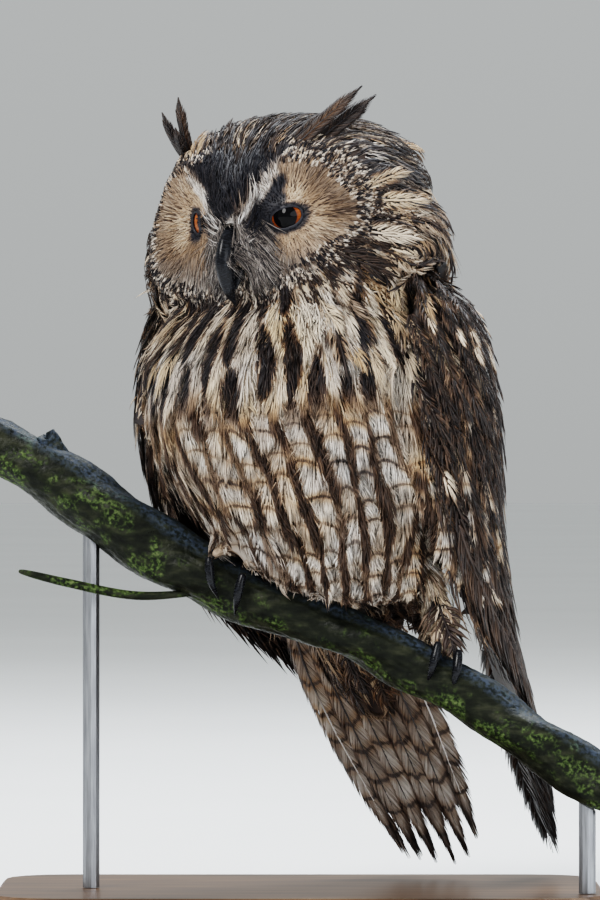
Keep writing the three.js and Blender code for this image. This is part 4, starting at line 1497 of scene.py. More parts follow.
@dataclass(frozen=True)
class FaceCoat:
    """The fine hair-like feathers of the face and the bristles over the bill."""

    spacing: float = 0.84
    length: float = 6.4
    near_length: float = 1.7
    width: float = 0.46
    brow_length: float = 9
    bill_gap: tuple[float, float, float] = (3.6, -14, 13)
    bristles: int = 3600
    bristle_length: float = 24
    bristle_width: float = 0.32
    dark_share: float = 0.14

    def hairs(self, ground: Ground) -> Thing:
        """Grows the face's short feathers, which fan out from the eyes.

        Args:
            ground: the skin.

        Returns:
            The piece.
        """
        head = HEAD.read(ground.skin.points)
        half_wide, up, half_high = self.bill_gap
        beside_bill = np.hypot(head[:, 0] / half_wide, (head[:, 2] - up) / half_high) > 1
        keep = (FACE.reach(head[:, 0], head[:, 2]) < 0.98) & (head[:, 1] > 8) & beside_bill
        spots = ground.scatter(keep, self.spacing, seed=11)
        spots = spots.chosen(np.min([eye.opening(spots.points) for eye in EYES], axis=0) > 3.5)
        at = spots.head
        side = np.where(at[:, 0] > 0, 1, -1)
        away = np.hypot(at[:, 0] - side * FACE.eye_left, at[:, 2] - FACE.eye_up)
        rng = np.random.default_rng(12)
        number = len(at)
        brow = smooth(-13, -7, at[:, 2]) * fade(9, 14, np.abs(at[:, 0] - FACE.bridge_left))
        length = blend(self.near_length, self.length, smooth(8, 20, away))
        length = blend(length, self.brow_length, brow) * rng.uniform(0.7, 1.3, number)
        way = COMB.lie(spots.points, spots.normals) + 0.16 * rng.normal(size=(number, 3))
        rise = (0.9 + 2.2 * brow) * rng.uniform(0.5, 1.5, number)
        steps = []
        for share, height in ((0, -0.15), (0.5, 0.62), (1, 1)):
            near, normal = ground.settle(steps_along(spots.points, (way, length * share)))
            steps.append(steps_along(near, (normal, rise * height)))
        middle = HEAD.read(steps[1])
        tone, warm = face_tint(middle[:, 0], middle[:, 2])
        rim = Eye.rim_of(steps[1])
        tone, warm = blend(tone, 0.02, rim), warm * (1 - rim)
        many_dark = self.dark_share + 0.16 * brow + 0.2 * smooth(0.75, 1, FACE.reach(at[:, 0], at[:, 2]))
        dark = rng.random(number) < many_dark
        tone = np.where(dark, tone * 0.45, tone + 0.07 * rng.normal(size=number))
        tone = np.stack([tone * 0.86, tone, tone * 1.04], axis=1)
        marks = marked((number, 3), tone, (warm + 0.08 * rng.normal(size=number))[:, None])
        width = self.width * rng.uniform(0.7, 1.3, number)
        locks = Locks("coat_face")
        locks.spikes(np.stack(steps, axis=1), spots.normals, width, marks, unwrapped(spots.points))
        return locks.build()

    def front(self, ground: Ground, left: Array, up: Array) -> Array:
        """Returns how far forward the face or the bill lies at places seen from the front."""
        starts = HEAD.place(left, np.full_like(left, 90), up)
        spots, met = ground.cast(starts, np.broadcast_to(-HEAD.forward, starts.shape))
        return np.maximum(np.where(met, spots.head[:, 1], 30), BILL.front(left, up))

    def bristle_fan(self, ground: Ground) -> Thing:
        """Grows the long grey bristles that sweep from the lores down over the sides of the bill.

        Args:
            ground: the skin.

        Returns:
            The piece.
        """
        rng = np.random.default_rng(13)
        number = self.bristles
        side = np.where(rng.random(number) < 0.5, 1, -1)
        left = side * (2.6 + 7.4 * rng.random(number))
        up = rng.uniform(-16, 1, number) + 3 * (np.abs(left) < 4)
        length = self.bristle_length * rng.uniform(0.35, 1, number)
        fan = rng.normal(size=number) * 0.3 + 0.1
        end_left = np.maximum(np.abs(left) + length * np.sin(fan), 3.4 + 2 * rng.random(number))
        end_up = np.maximum(up - length * np.cos(fan), -35 + 0.5 * end_left * rng.random(number))
        steps = []
        for share, rise in ((0, -0.2), (0.5, 1.5), (1, 0.8)):
            l, u = blend(left, side * end_left, share), blend(up, end_up, share)
            forward = self.front(ground, l, u) + rise * rng.uniform(0.5, 1.4, number)
            steps.append(HEAD.place(l, forward, u))
        pale = np.where(rng.random(number) < 0.7, rng.uniform(0.34, 0.74, number), 0.12)
        marks = marked((number, 3), np.stack([pale * 0.8, pale, pale], axis=1), 0.04)
        width = self.bristle_width * rng.uniform(0.7, 1.3, number)
        locks = Locks("face_bristles")
        up = np.broadcast_to(HEAD.forward, (number, 3))
        locks.spikes(np.stack(steps, axis=1), up, width, marks, unwrapped(steps[0]))
        return locks.build()


@dataclass(frozen=True)
class FrontRows:
    """The feathers of breast and belly, set in rows and columns so that their dark shafts line up."""

    columns: int = 18
    first_turn: float = -99.6
    turn: float = 11.6
    top: float = 246
    bottom: float = 129
    rows: int = 17
    beyond: float = 120
    parted: float = 190
    middles: tuple = ((-2, 2), (-2, 2), (-2, 3), (4, 0), (9, -6), (11, -12), (11, -14))

    def column(self, points: Array) -> Array:
        """Returns how many columns on from the first one the points lie."""
        body = BODY.read(points)
        share = np.clip((points[..., 2] - self.top) / (self.bottom - self.top), 0, 1)
        middle = curve(self.middles, share)
        turn = np.arctan2(body[..., 0] - middle[..., 0], body[..., 1] - middle[..., 1])
        return (np.degrees(turn) - self.first_turn) / self.turn

    def spots(self, ground: Ground) -> Spots:
        """Finds the rows' places on the skin.

        Args:
            ground: the skin.

        Returns:
            The places.
        """
        rng = np.random.default_rng(21)
        row, column = np.meshgrid(np.arange(self.rows), np.arange(self.columns), indexing="ij")
        share = (row + 0.5 * (column % 2) + rng.uniform(-0.2, 0.2, row.shape)) / (self.rows - 0.5)
        z = self.top + (self.bottom - self.top) * share
        stray = rng.uniform(-0.12, 0.12, row.shape) * (1 + 1.6 * (z > 200))
        turn = np.radians(self.first_turn + self.turn * (column + stray))
        middle = curve(self.middles, share)
        out = steps_along(0, (BODY.left, np.sin(turn)), (BODY.forward, np.cos(turn)))
        axis = BODY.place(middle[..., 0], middle[..., 1], z)
        starts = (axis + out * self.beyond).reshape(-1, 3)
        spots, met = ground.cast(starts, -out.reshape(-1, 3))
        return spots.chosen(met & ~np.isin(spots.kinds, [Flesh.LEG, Flesh.FOOT]))


FRONT = FrontRows()


@dataclass(frozen=True)
class WingCoat:
    """The coverts and the flight feathers of one folded wing."""

    wing: WingForm
    covert_rows: int = 15
    covert_gap: float = 3.3
    first_row: float = 0.02
    last_row: float = 0.6
    flights: int = 11
    flight_start: float = 0.44

    def coverts(self) -> tuple[Batch, Plume]:
        """Lays the coverts in rows over the wing, small at the shoulder and long lower down.

        Returns:
            The feathers and how they grow.
        """
        plume = Plume(
            length=27, half_width=7.4, barbs=22, barb_width=0.95, rise=1.5, cup=0.14,
            shaft_width=0.9, shaft_spikes=1, loose=0.3,
        )
        rng = np.random.default_rng(31 if self.wing.side > 0 else 32)
        xs, ys = [], []
        for row in range(self.covert_rows):
            y = self.first_row + (self.last_row - self.first_row) * row / (self.covert_rows - 1)
            many = max(3, int(float(curve(self.wing.half_width, np.array(y))) / self.covert_gap))
            x = (np.arange(many) + 0.5 * (row % 2)) / (many - 0.5) * 2 - 1
            xs.append(x * 0.97 + rng.uniform(-0.05, 0.05, many))
            ys.append(y + rng.uniform(-0.008, 0.008, many))
        x0, y0 = np.concatenate(xs), np.concatenate(ys)
        size = (0.72 + 0.6 * smooth(0.05, 0.55, y0)) * rng.uniform(0.9, 1.15, len(x0))
        t = np.linspace(0, 1, 6)
        y = y0[:, None] + (plume.length * size / self.wing.length)[:, None] * t
        lean = rng.uniform(-0.05, 0.05, len(x0))[:, None]
        x = np.clip(x0[:, None] * (1 - 0.12 * t) + lean * t, -1, 1)
        line, up = self.wing.surface(x, y, -2.2 + 3.4 * t * rng.uniform(0.8, 1.2, len(x0))[:, None])
        place = np.stack([0.1 + 0.4 * (x0 + 1) * 0.9, 0.04 + 0.9 * y0], axis=1)
        return Batch(line, up, plume.half_width * size, place, draws(rng, len(x0))), plume

    def flight(self) -> tuple[Batch, Plume]:
        """Lays the long flight feathers from the middle of the wing to its tip.

        Returns:
            The feathers and how they grow.
        """
        plume = Plume(
            length=150, half_width=9.5, barbs=88, barb_width=1.9, rise=0, sweep=0.1,
            ragged=0.1, cup=0.1, shaft_width=1, shaft_spikes=0, outline=Outline.BLADE,
        )
        rng = np.random.default_rng(33 if self.wing.side > 0 else 34)
        k = np.arange(self.flights) / (self.flights - 1)
        tip_y = 0.78 + 0.215 * np.sin(k * math.pi * 0.62 + 0.35) + rng.uniform(-0.01, 0.01, len(k))
        t = np.linspace(0, 1, 14)
        start = self.flight_start + 0.05 * np.sin(k * math.pi)
        y = start[:, None] + (tip_y - start)[:, None] * t
        x = (0.86 - 1.66 * k)[:, None] * (1 - 0.42 * t**1.5)
        line, up = self.wing.surface(x, y, (1.6 - 3 * k)[:, None] - 1.2 * (1 - t))
        half = np.full(len(k), plume.half_width)
        return Batch(line, up, half, row_on_map(len(k)), draws(rng, len(k))), plume

    def build(self) -> list[Thing]:
        """Makes the coverts and the flight feathers.

        Returns:
            The two pieces.
        """
        coverts = Locks(f"coat_wing_{self.wing.name}")
        flights = Locks(f"flight_feathers_{self.wing.name}")
        barb(coverts, *self.coverts(), spotted, seed=35)
        batch, plume = self.flight()
        barb(flights, batch, plume, flight_barred, seed=36)
        quill(flights, batch, 0.75, 0.14, 0.6)
        return [coverts.build(), flights.build()]


def quill(locks: Locks, batch: Batch, radius: float, tone: float | Array, warm: float) -> None:
    """Adds the shafts of long feathers.

    Args:
        locks: the coat piece that takes them.
        batch: the feathers.
        radius: the shafts' radius at the root.
        tone: how pale they are.
        warm: how tawny they are.
    """
    number, steps = batch.line.shape[:2]
    thin = radius * (1 - 0.82 * np.linspace(0, 1, steps))
    line = batch.line + batch.up * 0.25
    locks.stems(line, np.tile(thin, (number, 1)), marked((number, steps), tone, warm), batch.place)


def row_on_map(number: int) -> Array:
    """Returns places for a row of long feathers on the bake map."""
    return np.stack([np.linspace(0.08, 0.88, number), np.full(number, 0.5)], axis=1)


@dataclass(frozen=True)
class Tail:
    """The tail: twelve pointed feathers in a narrow fan."""

    feathers: int = 12
    halves: tuple = (15, 23, 24, 21.5, 19)

    def build(self) -> Thing:
        """Makes the tail feathers, the outer ones lowest.

        Returns:
            The piece.
        """
        plume = Plume(
            length=130, half_width=6, barbs=130, barb_width=1.1, rise=0, sweep=0.13,
            ragged=0.05, cup=0.1, shaft_width=1, shaft_spikes=0, outline=Outline.POINT,
        )
        root, tip = in_frame(TAIL_LINE)
        ahead = tip - root
        side = unit(BODY.left - ahead * (BODY.left @ ahead) / (ahead @ ahead))
        under = -unit(np.cross(side, ahead))
        rng = np.random.default_rng(41)
        pairs = np.linspace(-1, 1, self.feathers // 2)
        x = np.concatenate([pairs, pairs * 0.9]) + rng.uniform(-0.03, 0.03, self.feathers)
        t = np.linspace(0, 1, 12)
        reach = (1.04 - 0.04 * x * x + rng.uniform(-0.03, 0.012, len(x)))[:, None] * t
        fan = curve(self.halves, t) * x[:, None]
        layer = np.repeat([0, -0.9], self.feathers // 2)
        low = (layer - 1.2 + 3.4 * np.abs(x) - 2.4 * x * x)[:, None] - 2.2 * (x[:, None] * t) ** 2
        line = steps_along(root, (ahead, reach), (side, fan), (under, low))
        chance = draws(rng, len(x))
        chance["a"] = chance["a"] * 0.4
        half = np.full(len(x), plume.half_width)
        batch = Batch(line, np.broadcast_to(under, line.shape), half, row_on_map(len(x)), chance)
        locks = Locks("tail_feathers")
        barb(locks, batch, plume, tail_barred, seed=42)
        quill(locks, batch, 0.8, 0.25 + 0.75 * (np.abs(x) > 0.8)[:, None] * smooth(0.35, 0.5, t), 0.05)
        return locks.build()


@dataclass(frozen=True)
class EarTuft:
    """One ear tuft: a few long dark feathers from the crown, by root, tip and half width."""

    name: str
    node: str
    feathers: tuple
    bow: float = 1.5

    def build(self) -> Thing:
        """Makes the tuft's feathers.

        Returns:
            The piece.
        """
        plume = Plume(
            length=30, half_width=3.6, barbs=80, barb_width=0.8, rise=0, sweep=0.2,
            ragged=0.03, cup=0.3, shaft_width=0.8, shaft_spikes=0, outline=Outline.POINT,
        )
        roots, tips, halves = (np.array(values, float) for values in zip(*self.feathers))
        t = np.linspace(0, 1, 9)
        local = roots[:, None] + (tips - roots)[:, None] * t[:, None]
        line = HEAD.place(*np.moveaxis(local, -1, 0))
        line = steps_along(line, (HEAD.forward, self.bow * np.sin(t * math.pi)))
        number = len(roots)
        place = np.stack([np.linspace(0.2, 0.8, number), np.full(number, 0.5)], axis=1)
        ups = np.broadcast_to(HEAD.forward, line.shape)
        batch = Batch(line, ups, halves, place, draws(np.random.default_rng(51), number))
        locks = Locks(self.name)
        barb(locks, batch, plume, sooty, seed=52)
        quill(locks, batch, 0.5, 0.04, 0.3)
        return locks.build()


EAR_TUFTS = (
    EarTuft(
        "ear_tuft_feathers_right", "ear_tuft_right",
        (
            ((-34, 16, 26), (-30, 28, 50), 2.5),
            ((-38, 13, 24), (-39.5, 26, 44.5), 2.2),
            ((-36, 15, 24), (-35, 24, 38), 2.4),
        ),
    ),
    EarTuft(
        "ear_tuft_feathers_left", "ear_tuft_left",
        (
            ((18, 27, 24), (42.5, 6, 48.5), 3),
            ((23, 22, 24), (45, 0, 44.5), 3.4),
            ((22, 17, 27), (39, 0, 40), 3),
            ((16, 26, 26), (31, 14, 40), 2.4),
        ),
    ),
)


@dataclass(frozen=True)
class Eye:
    """One eye: a ball with a bulging cornea, and the lids round it."""

    name: str
    side: float
    outward: float = 20
    gaze: float = 20
    cornea_radius: float = 6.9
    cornea_rise: float = 1.2
    half_across: float = 42
    half_above: float = 20
    half_below: float = 27
    tilt: float = 0.26
    sunk: float = 8
    bed: float = 10.2
    far_off: float = 13
    socket: float = 12
    lid_columns: int = 72
    lid_profile: tuple = (
        (-1, 0.05), (-1.6, 0.35), (-0.8, 0.7), (2, 0.9), (6, 0.8), (12, 0.4),
        (20, -0.4), (20, -1.6), (8, -1.3),
    )

    @staticmethod
    def rim_of(points: Array) -> Array:
        """Returns how much of the lids' black rims lies at each place."""
        return fade(8, 14, np.min([eye.opening(points) for eye in EYES], axis=0))

    def bedded(self, points: Array) -> Array:
        """Sinks skin behind the lids' opening and brings the skin round it out to the lids.

        Args:
            points: the skin's points.

        Returns:
            The moved points.
        """
        middle = FACE.eye(self.side)
        away = points - middle
        far = np.linalg.norm(away, axis=1)
        beyond = smooth(self.far_off, self.far_off + 3, far)
        outside = np.maximum(smooth(-3, 9, self.opening(points)), beyond)
        reach = blend(self.sunk, np.maximum(far, self.bed), outside)
        return middle + away * (reach / np.maximum(far, 1e-6))[:, None]

    def cushion(self) -> Pair:
        """Makes the ball of flesh that fills the eye's socket."""

        def place(share: Array, angle: Array) -> Array:
            """Returns the points of the rings."""
            return self.round(self.outward, share * math.pi, angle, self.socket)

        return moulded(24, 24, place)

    def axes(self, outward: float) -> tuple[Array, Array, Array]:
        """Returns the eye's directions away from the bill, up and ahead, turned outward."""
        turn = math.radians(outward)
        ahead = HEAD.forward * math.cos(turn) + HEAD.left * self.side * math.sin(turn)
        across = HEAD.left * self.side * math.cos(turn) - HEAD.forward * math.sin(turn)
        return across, HEAD.up, ahead

    def round(self, outward: float, polar: Array, angle: Array, radius: Array | float) -> Array:
        """Returns points round the eye, at angles off its axis and about it."""
        across, up, ahead = self.axes(outward)
        wide, high = radius * np.sin(polar) * np.cos(angle), radius * np.sin(polar) * np.sin(angle)
        return steps_along(FACE.eye(self.side), (across, wide), (up, high), (ahead, radius * np.cos(polar)))

    def opening(self, points: Array) -> Array:
        """Returns how many degrees outside the lids' opening the points lie, seen from the eye."""
        across, up, ahead = self.axes(self.outward)
        ray = unit(points - FACE.eye(self.side))
        polar = np.degrees(np.arccos(np.clip(ray @ ahead, -1, 1)))
        return polar - self.open_to(np.arctan2(ray @ up, ray @ across))

    def open_to(self, angle: Array) -> Array:
        """Returns how far the lids open at an angle round the eye, in degrees off its axis."""
        angle = angle - self.tilt
        half_high = np.where(np.sin(angle) > 0, self.half_above, self.half_below)
        half = 1 / np.hypot(np.cos(angle) / self.half_across, np.sin(angle) / half_high)
        return half * (1 - 0.05 * np.cos(2 * angle) ** 8)

    def ball(self) -> Thing:
        """Makes the eyeball, with each point's distance and turn about its axis.

        Returns:
            The piece.
        """
        middle, (across, up, ahead) = FACE.eye(self.side), self.axes(self.gaze)

        def place(share: Array, angle: Array) -> Array:
            """Returns the points of the rings."""
            polar = share * math.pi
            reach = FACE.eye_radius * np.sin(polar)
            bulge = self.cornea_rise * fade(0, self.cornea_radius, reach) * (share < 0.5)
            return steps_along(self.round(self.gaze, polar, angle, FACE.eye_radius), (ahead, bulge))

        points, triangles = moulded(72, 64, place)
        wide, high, deep = ((points - middle) @ way for way in (across, up, ahead))
        reach = np.where(deep > 0, np.hypot(wide, high), FACE.eye_radius)
        return make_mesh(self.name, points, triangles, {"reach": reach, "wide": wide, "high": high})

    def lids(self) -> Pair:
        """Makes the bare rims of the lids as a closed ring."""
        angle = np.arange(self.lid_columns) / self.lid_columns * 2 * math.pi
        rings = []
        for wider, higher in self.lid_profile:
            polar = np.radians(self.open_to(angle) + wider)
            rings.append(self.round(self.outward, polar, angle, FACE.eye_radius + higher))
        return facing_out(np.concatenate(rings), bands(len(rings), self.lid_columns, closed=True))


EYES = (
    Eye("eye_left", 1, gaze=18),
    Eye("eye_right", -1, outward=34, gaze=-7, half_across=19, half_above=27, tilt=0),
)


@dataclass(frozen=True)
class Bill:
    """The bill: a hooked upper half over a shorter lower half."""

    upper: tuple = ((38, -4), (46.5, -8), (51.5, -16.5), (50.5, -26.5), (45.5, -34.5))
    upper_width: tuple = (2.4, 3.2, 3.7, 2.7, 0.45)
    upper_depth: tuple = (5.2, 5.4, 4.7, 3.2, 0.5)
    lower: tuple = ((36, -15), (42, -21), (45, -27.5))
    lower_width: tuple = (3.4, 2.6, 1)
    lower_depth: tuple = (2.4, 2, 0.8)

    def front(self, left: Array, up: Array) -> Array:
        """Returns how far forward the upper half reaches at places seen from the front, or 0 beside it."""
        forward, height = np.array(self.upper, float).T[:, ::-1]
        lines = (forward, self.upper_width[::-1], self.upper_depth[::-1])
        middle, wide, deep = (np.interp(up, height, line) for line in lines)
        inside = np.maximum(0, 1 - (left / wide) ** 2)
        reached = (inside > 0) & (up > height[0]) & (up < height[-1])
        return np.where(reached, middle + deep * np.sqrt(inside), 0)

    def build(self) -> list[tuple[Thing, str]]:
        """Makes both halves, each with the node that it stands for.

        Returns:
            The pieces and their nodes.
        """
        made = []
        for name, line, width, depth in (
            ("bill_upper", self.upper, self.upper_width, self.upper_depth),
            ("bill_lower", self.lower, self.lower_width, self.lower_depth),
        ):
            forward, up = np.array(line, float).T
            points, triangles = tube(HEAD.place(0 * up, forward, up), width, depth, HEAD.left, 48, 32)
            points = steps_along(points, (HEAD.forward, bell(HEAD.read(points)[:, 0], 1.5) * 0.35))
            made.append((make_mesh(name + "_horn", points, triangles), name))
        return made


BILL = Bill()


@dataclass(frozen=True)
class Perch:
    """The branch: a cut length of bark-covered limb with a stub and a dead twig."""

    half_length: float = 126
    back_slope: float = 0.18
    heights: tuple = (191, 168, 144, 125.5, 112.5, 94.5, 72, 48.5)
    radii: tuple = (10, 12.4, 12.8, 11, 10, 10.4, 10.2, 11.2)
    bumps: float = 0.7
    rows: int = 330
    cut_rows: int = 6
    stub_x: float = -98
    stub_lean: float = 28
    stub_radius: float = 6.5
    stub_length: float = 22
    stub_edge: float = 0.12
    twig: tuple = ((-40, 3, 128), (-66, 0, 127), (-92, -6, 132), (-112, -12, 137))
    twig_radius: float = 1.8

    def middle(self, x: Array) -> Array:
        """Returns the limb's middle at each x."""
        x = np.asarray(x, float)
        height = curve(self.heights, (x / self.half_length + 1) / 2)
        return in_frame(np.stack([x, -self.back_slope * x, height], axis=-1))

    def radius(self, x: Array) -> Array:
        """Returns the limb's radius at each x."""
        return curve(self.radii, (np.asarray(x, float) / self.half_length + 1) / 2)

    def axes(self, x: Array) -> tuple[Array, Array, Array]:
        """Returns the directions along the limb, to its front and up from it at each x."""
        x = np.asarray(x, float)
        ahead = unit(self.middle(x + 1) - self.middle(x - 1))
        front = unit(np.array([0, -1, 0]) + ahead * ahead[..., 1:2])
        up = unit(np.cross(front, ahead))
        return ahead, front, up * np.where(up[..., 2:3] < 0, -1, 1)

    def round(self, x: Array, turn: Array, distance: Array) -> Array:
        """Returns points beside the limb, turned from its top to its front."""
        _, front, up = self.axes(x)
        return steps_along(self.middle(x), (up, distance * np.cos(turn)), (front, distance * np.sin(turn)))

    def limb(self) -> Pair:
        """Makes the limb with its cut ends.

        Returns:
            The points and the triangles.
        """

        def place(share: Array, angle: Array) -> Array:
            """Returns the points of the rings."""
            row = share * self.rows
            from_end = np.minimum(row, self.rows - row)
            along = np.clip((row - self.cut_rows) / (self.rows - 2 * self.cut_rows), 0, 1)
            x = self.half_length * (2 * along - 1)
            lump = self.bumps * (np.sin(3 * angle + x / 9) + np.sin(x / 5.3 + 2 * angle))
            base = self.radius(x) + lump
            flat = np.stack([x, base * np.cos(angle), base * np.sin(angle)], axis=-1)
            stretched = flat * [0.3, 1, 1]
            ridge = 1 - np.abs(GRAIN.at(stretched, 2.6))
            bark = 0.45 * (ridge - 0.85) + 0.16 * GRAIN.at(flat, 1.5) + 0.5 * GRAIN.at(stretched + 11, 7)
            rounding = 0.9 * fade(0, 6, from_end - self.cut_rows)
            return self.round(x, angle, np.clip(from_end / self.cut_rows, 0, 1) * (base + bark - rounding))

        return moulded(self.rows, 120, place)

    def stub(self) -> Pair:
        """Makes the stub of a broken side branch.

        Returns:
            The points and the triangles.
        """
        lean = math.radians(self.stub_lean)
        ahead = np.array([-math.sin(lean), 0, math.cos(lean)])
        foot = self.middle(np.array(self.stub_x)) + [0, 0, float(self.radius(self.stub_x)) * 0.75]
        side = np.array([0, 1, 0])

        def place(share: Array, angle: Array) -> Array:
            """Returns the points of the rings."""
            flat = np.clip(np.minimum(share, 1 - share) / self.stub_edge, 0, 1)
            along = np.clip((share - self.stub_edge) / (1 - 2 * self.stub_edge), 0, 1)
            thick = self.stub_radius * (1 - 0.25 * along) + 0.5 * np.sin(5 * angle) * along
            broken = (1.4 * np.sin(3 * angle + 1) - 1.6) * smooth(0.6, 1, along)
            around = np.stack([along * 9, 3 * np.cos(angle), 3 * np.sin(angle)], axis=-1)
            ring = np.where(flat > 0, flat * thick + 0.5 * GRAIN.at(around, 1.2), 0)
            return steps_along(
                foot, (ahead, self.stub_length * (along - 0.5) + broken),
                (side, ring * np.cos(angle)), (np.cross(ahead, side), ring * np.sin(angle)),
            )

        return moulded(40, 48, place)

    def build(self) -> Thing:
        """Makes the whole perch, with marks for its moss, its cut ends and its top, where the bark's finish
        paints a reflection of the sky.

        Returns:
            The piece.
        """
        radii = [self.twig_radius] * len(self.twig)
        twig = tube(in_frame(self.twig), radii, radii, np.array([0, 1, 0]), 60, 20)
        points, triangles = joined(self.limb(), self.stub(), twig)
        x = np.clip(points[:, 0], -self.half_length, self.half_length)
        away = points - self.middle(x)
        reach = np.linalg.norm(away, axis=1)
        _, front, up = self.axes(x)
        top, facing = (dot(away, way)[:, 0] / np.maximum(reach, 1e-6) for way in (up, front))
        ends = (np.abs(points[:, 0]) > self.half_length - 1.2) & (reach < self.radius(x) - 1.6)
        patchy = 0.7 * GRAIN.at(points + 60, 12) + 0.6 * GRAIN.at(points, 3.4)
        low = bell(top + 0.62, 0.3) + 0.6 * bell(top - 0.1, 0.3)
        moss = smooth(-0.1, 0.6, patchy + 0.75 * low * np.clip(facing + 0.6, 0, 1) - 0.4)
        marks = {"moss": moss, "top": top, "cut": ends.astype(float)}
        return make_mesh("perch_bark", points, triangles, marks)


PERCH = Perch()


@dataclass(frozen=True)
class Foot:
    """The claws of one foot, by each toe's place along the limb, turn about it and sideways drift."""

    name: str
    x: float
    toes: dict[str, tuple[float, float, float]]
    toe_radius: float = 4.6
    claw_length: float = 19
    claw_hook: float = 0.6
    claw_radii: tuple = (2.3, 1.6, 0.25)

    def path(self, spread: float, degrees: float, drift: float) -> list:
        """Returns the root, the bend and the tip of a claw.

        Args:
            spread: the toe's place along the limb.
            degrees: its turn about the limb.
            drift: how far the claw leans sideways.

        Returns:
            The three points.
        """
        turn = math.radians(degrees)
        end = self.x + spread
        middle = PERCH.middle(end)
        root = PERCH.round(end, turn, PERCH.radius(end) + self.toe_radius * 1.06 + 0.3)
        outward = PERCH.round(end, turn, 1) - middle
        onwards = PERCH.round(end, turn + math.copysign(math.pi / 2, turn), 1) - middle
        down = np.array([drift, 0, -1])
        level = unit(outward * [1, 1, 0])
        bend = root + unit(down + onwards * self.claw_hook) * self.claw_length / 2
        return [root + outward, bend, bend + unit(down - level * self.claw_hook) * self.claw_length / 2]

    def build(self) -> list[tuple[Thing, str]]:
        """Makes the four claws, each with the node that it stands for.

        Returns:
            The pieces and their nodes.
        """
        made = []
        for toe, place in self.toes.items():
            along = PERCH.axes(self.x + place[0])[0]
            form = tube(self.path(*place), self.claw_radii, self.claw_radii, along, 40, 24)
            node = f"claw_{self.name}_{toe}"
            made.append((make_mesh(node + "_horn", *form), node))
        return made


FEET = (
    Foot("left", 47, {
        "inner": (3, 37, -0.05), "middle": (10, 30, 0.1),
        "outer": (8, -55, 0), "hind": (-5, -66, 0),
    }),
    Foot("right", -31, {
        "inner": (7.4, 64, -0.1), "middle": (-6.5, 66, 0.45),
        "outer": (7, -56, 0), "hind": (-6, -66, 0),
    }),
)


class Mixture:
    """A node material in the making."""

    def __init__(self, name: str, roughness: float = 0.5, specular: float = 0.5) -> None:
        """Starts a material with one plain surface.

        Args:
            name: the material's name.
            roughness: how rough the surface is.
            specular: how strongly it mirrors.
        """
        self.material = bpy.data.materials.new(name)
        self.material.use_nodes = True
        self.tree = self.material.node_tree
        self.tree.nodes.clear()
        self.surface = self.node("BsdfPrincipled").inputs
        self.surface["Roughness"].default_value = roughness
        self.surface["Specular IOR Level"].default_value = specular
        output = self.node("OutputMaterial")
        self.tree.links.new(self.tree.nodes[0].outputs[0], output.inputs[0])

    def node(self, kind: str) -> bpy.types.Node:
        """Adds a node."""
        return self.tree.nodes.new("ShaderNode" + kind)

    def put(self, value: object, socket: Socket) -> None:
        """Links a socket to a value that another node makes, or sets it to a plain one."""
        if isinstance(value, Socket):
            self.tree.links.new(value, socket)
        else:
            socket.default_value = value

    def mark(self, name: str) -> Socket:
        """Reads a named value of the mesh."""
        node = self.node("Attribute")
        node.attribute_name = name
        return node.outputs["Fac"]

    def noise(self, size: float, detail: float = 3, stretch: tuple = (1, 1, 1)) -> Socket:
        """Makes noise with features of a size in millimetres.

        Args:
            size: the size of its features.
            detail: how many finer layers it has.
            stretch: how much faster it changes along each axis.

        Returns:
            The noise.
        """
        place = self.node("TexCoord")
        scale = self.node("Mapping")
        scale.inputs["Scale"].default_value = stretch
        self.put(place.outputs["Object"], scale.inputs["Vector"])
        node = self.node("TexNoise")
        node.inputs["Scale"].default_value = 1 / (size * MM)
        node.inputs["Detail"].default_value = detail
        self.put(scale.outputs[0], node.inputs["Vector"])
        return node.outputs["Fac"]

    def sum(self, how: str, a: object, b: object = 0) -> Socket:
        """Works out a sum of two values."""
        node = self.node("Math")
        node.operation = how
        self.put(a, node.inputs[0])
        self.put(b, node.inputs[1])
        return node.outputs[0]

    def times(self, a: object, b: object) -> Socket:
        """Multiplies two values."""
        return self.sum("MULTIPLY", a, b)

    def ramp(self, value: object, *stops: tuple) -> Socket:
        """Turns a value into a colour.

        Args:
            value: the value.
            stops: each a place from 0 to 1 with a linear colour, or with a grey.

        Returns:
            The colour.
        """
        node = self.node("ValToRGB")
        marks = node.color_ramp.elements
        while len(marks) < len(stops):
            marks.new(0.5)
        for mark, (place, *colour) in zip(marks, stops):
            mark.position = place
            mark.color = (*(colour * 3)[:3], 1)
        self.put(value, node.inputs[0])
        return node.outputs[0]

    def blend(self, share: object, a: object, b: object, how: str = "MIX") -> Socket:
        """Blends two colours."""
        node = self.node("Mix")
        node.data_type = "RGBA"
        node.blend_type = how
        for value, place in ((share, 0), (a, 6), (b, 7)):
            self.put(value, node.inputs[place])
        return node.outputs[2]

    def bump(self, height: object, strength: float, depth: float) -> None:
        """Roughens the surface by a height, with a depth in millimetres."""
        node = self.node("Bump")
        node.inputs["Strength"].default_value = strength
        node.inputs["Distance"].default_value = depth * MM
        self.put(height, node.inputs["Height"])
        self.put(node.outputs[0], self.surface["Normal"])

    def coloured(self, colour: Socket) -> Material:
        """Gives the surface its colour and returns the material."""
        self.put(colour, self.surface["Base Color"])
        return self.material


